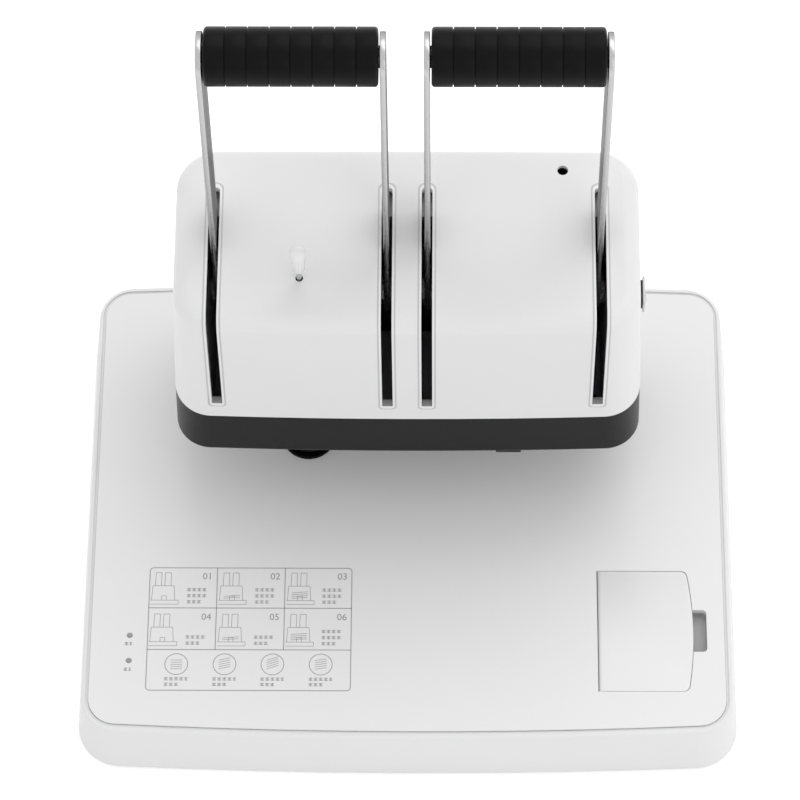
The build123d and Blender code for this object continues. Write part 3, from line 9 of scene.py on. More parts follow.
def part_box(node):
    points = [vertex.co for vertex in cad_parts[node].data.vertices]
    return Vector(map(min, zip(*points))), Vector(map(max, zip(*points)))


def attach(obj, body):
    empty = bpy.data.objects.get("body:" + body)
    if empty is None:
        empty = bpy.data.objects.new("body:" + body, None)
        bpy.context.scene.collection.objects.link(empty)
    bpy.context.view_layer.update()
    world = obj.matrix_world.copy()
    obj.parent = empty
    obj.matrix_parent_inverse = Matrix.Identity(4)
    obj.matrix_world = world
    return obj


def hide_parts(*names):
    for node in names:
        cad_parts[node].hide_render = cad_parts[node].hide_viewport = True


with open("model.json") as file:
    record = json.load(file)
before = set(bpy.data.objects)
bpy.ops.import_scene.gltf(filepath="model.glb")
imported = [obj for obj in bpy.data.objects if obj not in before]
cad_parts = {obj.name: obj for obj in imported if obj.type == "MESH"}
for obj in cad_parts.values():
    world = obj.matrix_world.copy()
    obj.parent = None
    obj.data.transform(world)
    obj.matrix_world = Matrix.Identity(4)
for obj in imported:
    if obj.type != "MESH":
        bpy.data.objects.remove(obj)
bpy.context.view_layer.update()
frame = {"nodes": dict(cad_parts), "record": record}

bl_info = {
    "name": "Rivet binding machine",
    "version": (1, 0, 0),
    "blender": (4, 5, 0),
    "location": "3D View > Sidebar > Binding machine",
    "description": "Finishes and fine pieces of a desk rivet binding machine",
    "category": "Object",
}

MM = 0.001

# Heights of the surfaces that fine pieces lie on
TABLE_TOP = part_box("table_plate")[1][2]
SEAM_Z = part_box("top_cover")[0][2]

# The lean of the cover's front, and the distance under which points of a CAD mesh are one
COVER_LEAN = math.radians(5.4)
MERGE_DISTANCE = 0.002 * MM


def srgb(code):
    """Turns an sRGB hex colour into linear red, green, blue and alpha."""
    parts = [int(code[i : i + 2], 16) / 255 for i in (1, 3, 5)]
    linear = [p / 12.92 if p <= 0.04045 else ((p + 0.055) / 1.055) ** 2.4 for p in parts]
    return (*linear, 1.0)


def shaded(colour, factor):
    """The same colour, lighter or darker by a factor."""
    return (*[min(1.0, part * factor) for part in colour[:3]], 1.0)


def colour_property(name, description, code):
    """A colour that a user may change."""
    return bpy.props.FloatVectorProperty(
        name=name,
        description=description,
        default=srgb(code),
        size=4,
        min=0.0,
        max=1.0,
        subtype="COLOR",
    )


def length_property(name, description, value):
    """A length in metres that a user may change."""
    return bpy.props.FloatProperty(
        name=name, description=description, default=value, min=0.0, unit="LENGTH", precision=5
    )


class BinderColours(bpy.types.PropertyGroup):
    """Colours of the outer finishes."""

    casing: colour_property("Casing", "White moulded base and cover", "#E5E5E5")
    table: colour_property("Table", "White laminated table and lid", "#E8E8E8")
    skirt: colour_property("Skirt", "Near black lower part of the head", "#131314")
    grip: colour_property("Grip", "Black soft rubber sleeves", "#0A0A0B")
    steel: colour_property("Levers", "Satin nickel plated lever arms", "#BCBCBC")
    ink: colour_property("Ink", "Grey print on the table", "#969696")


class BinderSizes(bpy.types.PropertyGroup):
    """Sizes of the fine pieces that the solids don't have."""

    edge_round: length_property("Edge round", "Rounding of the levers' pressed edges", 0.4 * MM)
    casing_round: length_property("Casing round", "Rounding of the plastic pieces' edges", 0.3 * MM)
    ink_height: length_property("Ink height", "Height of the print over the table", 0.05 * MM)
    line_width: length_property("Line width", "Width of the printed lines", 0.5 * MM)
    # The shadow gap is a flat grey strip of painted shade, not a real groove
    shade_strip_width: length_property("Gap", "Width of the shadow gap round a slot trim", 0.9 * MM)


def colours():
    """The scene's colours of the outer finishes."""
    return bpy.context.scene.binder_colours


def sizes():
    """The scene's sizes of the fine pieces."""
    return bpy.context.scene.binder_sizes


def add(tree, kind, sockets=None, **settings):
    """Adds a shader node, sets it, and sets or links its sockets by name or number."""
    node = tree.nodes.new("ShaderNode" + kind)
    for name, value in settings.items():
        setattr(node, name, value)
    for name, value in (sockets or {}).items():
        if isinstance(value, bpy.types.NodeSocket):
            tree.links.new(value, node.inputs[name])
        else:
            node.inputs[name].default_value = value
    return node


def new_finish(name, colour, roughness, metallic=0.0, **sockets):
    """A material with its constant values on the shader, and the piece's own coordinates."""
    material = bpy.data.materials.new(name)
    material.use_nodes = True
    tree = material.node_tree
    shader = tree.nodes["Principled BSDF"]
    shader.inputs["Base Color"].default_value = colour
    shader.inputs["Roughness"].default_value = roughness
    shader.inputs["Metallic"].default_value = metallic
    for socket, value in sockets.items():
        shader.inputs[socket.replace("_", " ")].default_value = value
    return material, tree, shader, add(tree, "TexCoord").outputs["Object"]


def grained(finish, colour, grain, depth, tone, roughness, stretch=(1, 1, 1), blotch=60 * MM):
    """Fine grain of a real size with its bump, roughness and slow changes of tone."""
    material, tree, shader, place = finish
    turned = add(tree, "Mapping", {"Vector": place, "Scale": stretch}).outputs["Vector"]
    fine = add(tree, "TexNoise", {"Vector": turned, "Scale": 1 / grain, "Detail": 3.0}).outputs["Fac"]
    slow = add(tree, "TexNoise", {"Vector": place, "Scale": 1 / blotch, "Detail": 2.0}).outputs["Fac"]
    both = add(tree, "Math", {0: fine, 1: slow}, operation="ADD").outputs[0]
    share = add(tree, "MapRange", {"Value": both, "From Min": 0.6, "From Max": 1.4}).outputs["Result"]
    tones = {0: share, 6: shaded(colour, 1 - tone), 7: shaded(colour, 1 + tone)}
    mixed = add(tree, "Mix", tones, data_type="RGBA").outputs[2]
    span = {"From Min": 0.3, "From Max": 0.7, "To Min": roughness[0], "To Max": roughness[1]}
    rough = add(tree, "MapRange", {"Value": fine, **span}).outputs["Result"]
    bump = add(tree, "Bump", {"Height": fine, "Distance": depth, "Strength": 1.0}).outputs["Normal"]
    tree.links.new(mixed, shader.inputs["Base Color"])
    tree.links.new(rough, shader.inputs["Roughness"])
    tree.links.new(bump, shader.inputs["Normal"])
    return material


def moulded_abs(name, colour, roughness=(0.38, 0.5), **sockets):
    """Moulded plastic: the tool's spark grain dulls its gloss.

    Real grain of about 0.1 mm wouldn't show, so it is drawn about 0.9 mm wide.
    """
    finish = new_finish(name, colour, 0.45, **sockets)
    return grained(finish, colour, 0.9 * MM, 0.006 * MM, 0.012, roughness)


def laminated_sheet(name, colour):
    """Melamine laminate: flatter and a little glossier than the moulded casing."""
    finish = new_finish(name, colour, 0.35)
    return grained(finish, colour, 1.4 * MM, 0.003 * MM, 0.008, (0.32, 0.42), blotch=90 * MM)


def brushed_nickel(name, colour):
    """Satin nickel plating over brushed steel: long fine scratches along the lever.

    They scatter what a broad face would mirror at a flat angle, so it looks darker from there. Real
    ones of about 0.1 mm wouldn't show, so they are drawn about 0.7 mm wide.
    """
    finish = new_finish(name, colour, 0.3, 1.0, Specular_Tint=(0.25, 0.25, 0.25, 1.0))
    along_z = (1, 1, 0.03)
    return grained(finish, colour, 0.7 * MM, 0.0015 * MM, 0.03, (0.24, 0.34), along_z)


def powder_coat(name, colour):
    """Powder coating: a soft orange peel skin over steel plate."""
    return grained(new_finish(name, colour, 0.5), colour, 1.6 * MM, 0.03 * MM, 0.06, (0.4, 0.55))


def foam_rubber(name, colour):
    """Soft rubber: a dull skin of fine cells, drawn about 1 mm wide so that they show."""
    material, tree, shader, place = new_finish(name, colour, 0.5, Specular_IOR_Level=0.1)
    cells = add(tree, "TexVoronoi", {"Vector": place, "Scale": 1 / (0.9 * MM)}).outputs["Distance"]
    noise = {"Vector": place, "Scale": 1 / (2.5 * MM), "Detail": 4.0}
    fine = add(tree, "TexNoise", noise).outputs["Fac"]
    tones = {0: fine, 6: shaded(colour, 0.8), 7: shaded(colour, 1.25)}
    mixed = add(tree, "Mix", tones, data_type="RGBA").outputs[2]
    rough = add(tree, "MapRange", {"Value": cells, "To Min": 0.28, "To Max": 0.42}).outputs["Result"]
    relief = {"Height": cells, "Distance": 0.01 * MM, "Strength": 0.7}
    bump = add(tree, "Bump", relief).outputs["Normal"]
    tree.links.new(mixed, shader.inputs["Base Color"])
    tree.links.new(rough, shader.inputs["Roughness"])
    tree.links.new(bump, shader.inputs["Normal"])
    return material


def zinc_plate(name, colour):
    """Zinc plated steel: small crystals, each with its own tone and gloss."""
    material, tree, shader, place = new_finish(name, colour, 0.35, 1.0)
    crystals = add(tree, "TexVoronoi", {"Vector": place, "Scale": 1 / (2.2 * MM)}).outputs["Color"]
    grey = add(tree, "RGBToBW", {"Color": crystals}).outputs["Val"]
    tones = {0: grey, 6: shaded(colour, 0.82), 7: shaded(colour, 1.12)}
    mixed = add(tree, "Mix", tones, data_type="RGBA").outputs[2]
    rough = add(tree, "MapRange", {"Value": grey, "To Min": 0.26, "To Max": 0.44}).outputs["Result"]
    tree.links.new(mixed, shader.inputs["Base Color"])
    tree.links.new(rough, shader.inputs["Roughness"])
    return material


def turned_metal(name, colour, roughness):
    """Turned on a lathe: fine rings round both tool axes, which lie mirrored about the middle.

    A wave repeats about every third of its scale, so the rings lie about 1 mm apart. Real ones of
    about 0.1 mm wouldn't show.
    """
    material, tree, shader, place = new_finish(name, colour, roughness[0], 1.0)
    split = add(tree, "SeparateXYZ", {"Vector": place})
    side = add(tree, "Math", {0: split.outputs["X"]}, operation="ABSOLUTE").outputs[0]
    parts = {"X": side, "Y": split.outputs["Y"], "Z": split.outputs["Z"]}
    joined = add(tree, "CombineXYZ", parts).outputs["Vector"]
    low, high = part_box("lower_die")
    to_axis = ((high[0] + low[0]) / 2, -(high[1] + low[1]) / 2, 0)
    centred = add(tree, "Mapping", {"Vector": joined, "Location": to_axis})
    rings = add(
        tree,
        "TexWave",
        {"Vector": centred.outputs["Vector"], "Scale": 1 / (3 * MM), "Distortion": 0.6},
        wave_type="RINGS",
        rings_direction="Z",
    ).outputs["Fac"]
    tones = {0: rings, 6: shaded(colour, 0.88), 7: shaded(colour, 1.1)}
    mixed = add(tree, "Mix", tones, data_type="RGBA").outputs[2]
    span = {"To Min": roughness[0], "To Max": roughness[1]}
    rough = add(tree, "MapRange", {"Value": rings, **span}).outputs["Result"]
    tree.links.new(mixed, shader.inputs["Base Color"])
    tree.links.new(rough, shader.inputs["Roughness"])
    return material


def milled_metal(name, colour, roughness, lay=(1, 0.05, 1)):
    """Milled, drawn or cut metal: tool marks in one direction, drawn wider than real ones."""
    finish = new_finish(name, colour, roughness[0], 1.0)
    return grained(finish, colour, 0.8 * MM, 0.004 * MM, 0.06, roughness, lay)


def circuit_board(name, colour):
    """Solder mask over copper tracks on the board, black moulded parts above it."""
    material, tree, shader, place = new_finish(name, colour, 0.35)
    board_top = 17.8 * MM
    bricks = {"Vector": place, "Scale": 1 / (9 * MM), "Mortar Size": 0.04}
    tracks = add(tree, "TexBrick", bricks, offset=0.3).outputs["Fac"]
    tones = {0: tracks, 6: colour, 7: shaded(colour, 1.9)}
    mask = add(tree, "Mix", tones, data_type="RGBA").outputs[2]
    height = add(tree, "SeparateXYZ", {"Vector": place}).outputs["Z"]
    part = add(tree, "Math", {0: height, 1: board_top}, operation="GREATER_THAN").outputs[0]
    mixed = add(tree, "Mix", {0: part, 6: mask, 7: srgb("#1A1A1C")}, data_type="RGBA").outputs[2]
    tree.links.new(mixed, shader.inputs["Base Color"])
    return material


def necked_bezel(name, colour):
    """Light grey switch frame; the neck under it, nearer the wall, is drawn near black."""
    finish = new_finish(name, colour, 0.4)
    material = grained(finish, colour, 0.9 * MM, 0.004 * MM, 0.012, (0.34, 0.44))
    _, tree, shader, place = finish
    bezel_thickness = 1.25 * MM
    neck_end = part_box("switch_housing")[1][0] - bezel_thickness
    side = add(tree, "SeparateXYZ", {"Vector": place}).outputs["X"]
    neck = add(tree, "Math", {0: side, 1: neck_end}, operation="LESS_THAN").outputs[0]
    shown = shader.inputs["Base Color"].links[0].from_socket
    mixed = add(tree, "Mix", {0: neck, 6: shown, 7: srgb("#1C1C1D")}, data_type="RGBA").outputs[2]
    tree.links.new(mixed, shader.inputs["Base Color"])
    return material


def frosted_lens(name, colour):
    """Frosted polycarbonate: clear, with a fine texture that spreads the light."""
    finish = new_finish(name, colour, 0.45, IOR=1.58, Transmission_Weight=0.85)
    material, tree, shader, place = finish
    frost = add(tree, "TexNoise", {"Vector": place, "Scale": 1 / (0.8 * MM)}).outputs["Fac"]
    relief = {"Height": frost, "Distance": 0.02 * MM, "Strength": 1.0}
    bump = add(tree, "Bump", relief).outputs["Normal"]
    rough = add(tree, "MapRange", {"Value": frost, "To Min": 0.35, "To Max": 0.55}).outputs["Result"]
    tree.links.new(rough, shader.inputs["Roughness"])
    tree.links.new(bump, shader.inputs["Normal"])
    return material


def grained_finish(name, code, roughness, grain, depth, tone, metallic=0.0, **sockets):
    """A finish that needs no more than its grain, from its hex colour and span of roughness."""
    colour = srgb(code)
    middle = round(sum(roughness) / 2, 2)
    finish = new_finish(name, colour, middle, metallic, **sockets)
    return grained(finish, colour, grain * MM, depth * MM, tone, roughness)


def make_finishes():
    """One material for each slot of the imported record."""
    c = colours()
    return {
        "white_abs": moulded_abs("white_moulded_abs", tuple(c.casing)),
        "table_laminate": laminated_sheet("white_laminate", tuple(c.table)),
        "dark_abs": moulded_abs(
            "near_black_moulded_abs", tuple(c.skirt), (0.3, 0.42), Specular_IOR_Level=0.14
        ),
        # Mid grey that paints the shade of the tray's deep recess
        "tray_plastic": moulded_abs("grey_tray_painted_shade", srgb("#B4B4B4")),
        "trim_plastic": moulded_abs("light_grey_trim", srgb("#E9E9E9"), (0.3, 0.4)),
        "grip_foam": foam_rubber("black_foam_rubber", tuple(c.grip)),
        # Moulded rubber: matt, its skin a little uneven
        "foot_rubber": grained_finish("black_rubber", "#232323", (0.68, 0.82), 1.2, 0.02, 0.08),
        "handle_steel": brushed_nickel("satin_nickel_plate", tuple(c.steel)),
        "bright_steel": milled_metal("ground_steel", srgb("#C9CBCD"), (0.12, 0.2), (1, 1, 0.08)),
        "frame_steel": powder_coat("grey_powder_coat", srgb("#AEAEB0")),
        "zinc_steel": zinc_plate("zinc_plate", srgb("#C0C2C6")),
        "gear_steel": milled_metal("oiled_cut_steel", srgb("#A9ABAD"), (0.26, 0.36)),
        "tool_steel": turned_metal("turned_tool_steel", srgb("#A5A3A0"), (0.22, 0.36)),
        "carriage_aluminium": milled_metal("milled_aluminium", srgb("#D2D4D6"), (0.3, 0.42)),
        "heater_brass": turned_metal("heater_brass", srgb("#CDA95E"), (0.25, 0.4)),
        # Sintered bronze: pores full of oil make it spotty
        "bush_bronze": grained_finish(
            "sintered_bronze", "#A97F4C", (0.38, 0.56), 0.8, 0.02, 0.16, metallic=1.0
        ),
        # Fired ceramic: chalky and matt
        "insulator": grained_finish("ceramic_washer", "#E2DFD6", (0.62, 0.78), 1.0, 0.01, 0.04),
        # Cut nylon: light sinks in a little, so it looks waxy
        "pad_nylon": grained_finish(
            "white_nylon", "#E0E0DB", (0.35, 0.48), 1.1, 0.006, 0.02, Subsurface_Weight=0.15
        ),
        "guide_plastic": moulded_abs("black_nylon", srgb("#2B2B2B")),
        "knob_plastic": moulded_abs("white_gloss_knob", srgb("#EBEBEB"), (0.2, 0.28)),
        # Blackened steel: an oiled oxide skin, cloudy and half matt
        "blackened_steel": grained_finish(
            "blackened_steel", "#1E1E1F", (0.32, 0.48), 0.9, 0.006, 0.12, metallic=1.0
        ),
        "bezel_plastic": necked_bezel("switch_frame_abs", srgb("#CFCFCF")),
        "switch_plastic": moulded_abs("black_gloss_plastic", srgb("#1E1E1F"), (0.18, 0.28)),
        "lens": frosted_lens("frosted_lens", srgb("#F2F4F5")),
        "rocker_plastic": moulded_abs("light_grey_rocker", srgb("#D2D2D2"), (0.2, 0.3)),
        # Polished acrylic: a clear gloss over smoke grey
        "light_pipe": grained_finish(
            "smoke_grey_light_pipe", "#8C8C8C", (0.16, 0.26), 1.0, 0.004, 0.05, Coat_Weight=0.4
        ),
        "board": circuit_board("circuit_board", srgb("#1F6B3C")),
        "contact_brass": milled_metal("tinned_brass", srgb("#D9D2BC"), (0.22, 0.32)),
    }


def finish_of(slot):
    """The material of a slot, once make_finishes has made them."""
    return bpy.data.materials[bpy.context.scene["binder_finish_" + slot]]


def slot_of(node):
    """The record's material slot of a node."""
    return [row["material_slot"] for row in frame["record"]["subparts"] if row["node"] == node][0]


def place_piece(bm, name, body, slot, node=None, material=None):
    """Makes an object of a bmesh at the origin, parents it to its body, and hides the CAD node, if
    any, that it stands in for.
    """
    mesh = bpy.data.meshes.new(name)
    bm.to_mesh(mesh)
    bm.free()
    mesh.materials.append(material or finish_of(slot))
    piece = bpy.data.objects.new(name, mesh)
    bpy.context.scene.collection.objects.link(piece)
    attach(piece, body)
    if node:
        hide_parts(node)
    return piece


def smooth(piece, angle=35):
    """Smooth shading that keeps edges sharper than the angle."""
    for polygon in piece.data.polygons:
        polygon.use_smooth = True
    piece.data.set_sharp_from_angle(angle=math.radians(angle))


def copied(node):
    """A bmesh of a CAD node, its loose triangles merged and its flat faces made whole."""
    bm = bmesh.new()
    bm.from_mesh(frame["nodes"][node].data)
    bmesh.ops.remove_doubles(bm, verts=bm.verts, dist=MERGE_DISTANCE)
    flat = math.radians(0.5)
    bmesh.ops.dissolve_limit(bm, angle_limit=flat, verts=bm.verts, edges=bm.edges)
    return bm


def islands(bm):
    """The vertices of each loose part of a bmesh."""
    groups = []
    left = set(bm.verts)
    while left:
        reach = [left.pop()]
        group = set(reach)
        while reach:
            for edge in reach.pop().link_edges:
                for vert in edge.verts:
                    if vert in left:
                        left.discard(vert)
                        group.add(vert)
                        reach.append(vert)
        groups.append(list(group))
    return groups


def softened_node(node, body, width, segments=2):
    """A CAD node's own shape in its place, with sharp edges rounded as plating and moulding do."""
    piece = place_piece(copied(node), node + "_shown", body, slot_of(node), node)
    bevel = piece.modifiers.new("edge_round", "BEVEL")
    bevel.width = width
    bevel.segments = segments
    bevel.limit_method = "ANGLE"
    bevel.angle_limit = math.radians(40)
    bevel.harden_normals = True
    for polygon in piece.data.polygons:
        polygon.use_smooth = True
    return piece


class BINDER_OT_finishes(bpy.types.Operator):
    """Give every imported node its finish"""

    bl_idname = "binder.finishes"
    bl_label = "Finishes"

    def execute(self, context):
        for slot, material in make_finishes().items():
            context.scene["binder_finish_" + slot] = material.name
        for name, node in frame["nodes"].items():
            node.data.materials.clear()
            node.data.materials.append(finish_of(slot_of(name)))
        return {"FINISHED"}


class BINDER_OT_grips(bpy.types.Operator):
    """Build the two ribbed grips of soft rubber"""

    bl_idname = "binder.grips"
    bl_label = "Grips"

    segments: bpy.props.IntProperty(name="Segments", description="Ribs of a grip", default=8, min=2)
    groove: length_property("Groove", "Width of a groove between two ribs", 0.5 * MM)
    depth: length_property("Depth", "Depth of a groove", 1.2 * MM)
    bore: length_property("Bore", "Radius of the hole for the bar", 6.05 * MM)

    def profile(self, low, high, radius):
        """Points of one grip's half section, from its left face to its right face."""
        end_round, lip, half = 2 * MM, 0.25 * MM, self.groove / 2
        left_end = [(low, self.bore), (low, radius - end_round)]
        for step in range(1, 7):
            turn = math.radians(15 * step)
            inwards = end_round * (1 - math.cos(turn))
            left_end.append((low + inwards, radius - end_round * (1 - math.sin(turn))))
        # From a rib's top down its rounded edge to the groove's floor
        edge = ((lip, 0), (0.3 * lip, 0.3 * lip), (0, lip), (0, self.depth))
        grooves = []
        for rib in range(1, self.segments):
            middle = low + rib * (high - low) / self.segments
            grooves += [(middle - half - out, radius - down) for out, down in edge]
            grooves += [(middle + half + out, radius - down) for out, down in reversed(edge)]
        right_end = [(low + high - x, r) for x, r in reversed(left_end)]
        return left_end + grooves + right_end

    def execute(self, context):
        for side in ("left", "right"):
            node = side + "_grip"
            low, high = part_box(node)
            radius = (high[2] - low[2]) / 2
            bm = bmesh.new()
            verts = [bm.verts.new((x, 0, r)) for x, r in self.profile(low[0], high[0], radius)]
            edges = [bm.edges.new(pair) for pair in zip(verts, verts[1:] + verts[:1])]
            bmesh.ops.spin(
                bm,
                geom=verts + edges,
                cent=(0, 0, 0),
                axis=(1, 0, 0),
                angle=math.tau,
                steps=72,
                use_merge=True,
                use_duplicate=False,
            )
            centre = Vector((0, (low[1] + high[1]) / 2, (low[2] + high[2]) / 2))
            bmesh.ops.translate(bm, vec=centre, verts=bm.verts)
            bmesh.ops.recalc_face_normals(bm, faces=bm.faces)
            piece = place_piece(bm, node + "_ribbed", side + "_handle", "grip_foam", node)
            smooth(piece, 50)
        return {"FINISHED"}


class BINDER_OT_levers(bpy.types.Operator):
    """Round the edges of the lever arms and the grip bars"""

    bl_idname = "binder.levers"
    bl_label = "Levers"

    bar_round: length_property("Bar round", "Rounding of the grip bars' edges", 0.25 * MM)

    def execute(self, context):
        for side in ("left", "right"):
            body = side + "_handle"
            softened_node(side + "_arms", body, sizes().edge_round, segments=3)
            softened_node(side + "_grip_bar", body, self.bar_round)
        return {"FINISHED"}


class BINDER_OT_casing(bpy.types.Operator):
    """Round the edges of the plain plastic pieces of casing"""

    bl_idname = "binder.casing"
    bl_label = "Casing edges"

    def execute(self, context):
        width = sizes().casing_round
        for node, body in (
            ("storage_tray", "base"),
            ("storage_lid", "lid"),
            ("column_casing", "base"),
            ("rear_cover", "base"),
            ("lamp_housing", "base"),
            ("switch_housing", "base"),
            ("switch_rocker", "rocker"),
            ("power_inlet", "base"),
            ("anvil_ring", "base"),
            ("pin_knob", "pin_and_knob"),
        ):
            softened_node(node, body, width)
        return {"FINISHED"}


class BINDER_OT_slot_trims(bpy.types.Operator):
    """Build the slot trims, the painted shade on their lower floors and the grey strip of painted
    groove shade round each
    """

    bl_idname = "binder.slot_trims"
    bl_label = "Slot trims"

    trim_round: length_property("Round", "Rounding of the trims' edges", 0.5 * MM)
    sink: length_property("Sink", "How far the shadow gap lies behind the trims", 0.17 * MM)

    def shade_slot_floors(self, trims):
        """Paints the up-facing floor of each slot's lower end mid grey, as painted shade."""
        # Mid grey that paints the shade falling on the floor of each slot's lower end
        trims.data.materials.append(moulded_abs("painted_shade_slot_floor", srgb("#9A9A9A"), (0.8, 0.95)))
        highest = SEAM_Z + 30 * MM
        for face in trims.data.polygons:
            if face.normal.z > 0.9 and face.center.z < highest:
                face.material_index = 1

    def execute(self, context):
        self.shade_slot_floors(softened_node("slot_trims", "base", self.trim_round, segments=3))
        bm = copied("slot_trims")
        width = sizes().shade_strip_width
        for group in islands(bm):
            xs = [vert.co.x for vert in group]
            middle, half = (max(xs) + min(xs)) / 2, (max(xs) - min(xs)) / 2
            bmesh.ops.scale(
                bm,
                vec=((half + width) / half, 1, 1),
                space=Matrix.Translation((-middle, 0, 0)),
                verts=group,
            )
            low_end = min(vert.co.z for vert in group)
            back_end = max(vert.co.y for vert in group)
            for vert in group:
                if vert.co.z < low_end + half:
                    vert.co.z -= width
                    vert.co.y -= width * math.tan(COVER_LEAN)
                if vert.co.y > back_end - half:
                    vert.co.y += width
        # Sunk back from the front and the top, so that only the painted strip's width shows round the
        # trim
        bmesh.ops.translate(bm, vec=(0, self.sink, -self.sink), verts=bm.verts)
        # Pale grey strip round each trim: painted shade of a groove between trim and cover
        material = moulded_abs("painted_groove_shade", srgb("#C4C4C4"))
        gap = place_piece(bm, "slot_trim_shade_strips", "base", "trim_plastic", material=material)
        smooth(gap)
        return {"FINISHED"}


# Width of the finer printed lines
SKETCH_LINE = 0.3 * MM


def flat_raise(bm, faces, height):
    """Gives flat faces a thickness upwards."""
    raised = bmesh.ops.extrude_face_region(bm, geom=faces)
    verts = [item for item in raised["geom"] if isinstance(item, bmesh.types.BMVert)]
    bmesh.ops.translate(bm, vec=(0, 0, height), verts=verts)


def print_bar(bm, start, end, width, height):
    """A printed line between two points of the table, in millimetres from the middle."""
    start, end = Vector((*start, 0)) * MM, Vector((*end, 0)) * MM
    run = end - start
    turn = Matrix.Rotation(math.atan2(run.y, run.x), 4, "Z")
    size = Matrix.Diagonal((run.length, width, height, 1))
    middle = (start + end) / 2 + Vector((0, 0, TABLE_TOP + height / 2))
    bmesh.ops.create_cube(bm, size=1, matrix=Matrix.Translation(middle) @ turn @ size)


def print_ring(bm, faces, width, height):
    """Turns a flat face into a printed outline of a width."""
    inset = bmesh.ops.inset_region(
        bm, faces=faces, thickness=width, use_boundary=True, use_even_offset=True
    )
    bmesh.ops.delete(bm, geom=faces, context="FACES_ONLY")
    flat_raise(bm, inset["faces"], height)


def print_circle(bm, centre, radius, width, height):
    """A printed circle, its centre and radius in millimetres."""
    place = Matrix.Translation((centre[0] * MM, centre[1] * MM, TABLE_TOP))
    made = bmesh.ops.create_circle(
        bm, cap_ends=True, segments=48, radius=radius * MM, matrix=place
    )
    faces = list({face for vert in made["verts"] for face in vert.link_faces})
    print_ring(bm, faces, width, height)


def print_words(bm, left, right, top, rows, height, pitch=3.95):
    """Rows of plain marks, three dashes and a stroke each, in the place of a block of text."""
    mark_width, mark_step, narrowest, stroke_half = 2.3, 3.0, 1.2, 1.05
    dashes = ((0.75, 1.0), (0.0, 0.8), (-0.75, 1.0))
    last_row_share = 0.72
    for row in range(rows):
        y = top - row * pitch
        end = right if row < rows - 1 else left + (right - left) * last_row_share
        x = left
        while x < end - narrowest:
            reach = min(x + mark_width, end)
            for level, share in dashes:
                stop = (x + (reach - x) * share, y + level)
                print_bar(bm, (x, y + level), stop, 0.32 * MM, height)
            middle = (x + reach) / 2
            low, high = (middle, y - stroke_half), (middle, y + stroke_half)
            print_bar(bm, low, high, SKETCH_LINE, height)
            x += mark_step


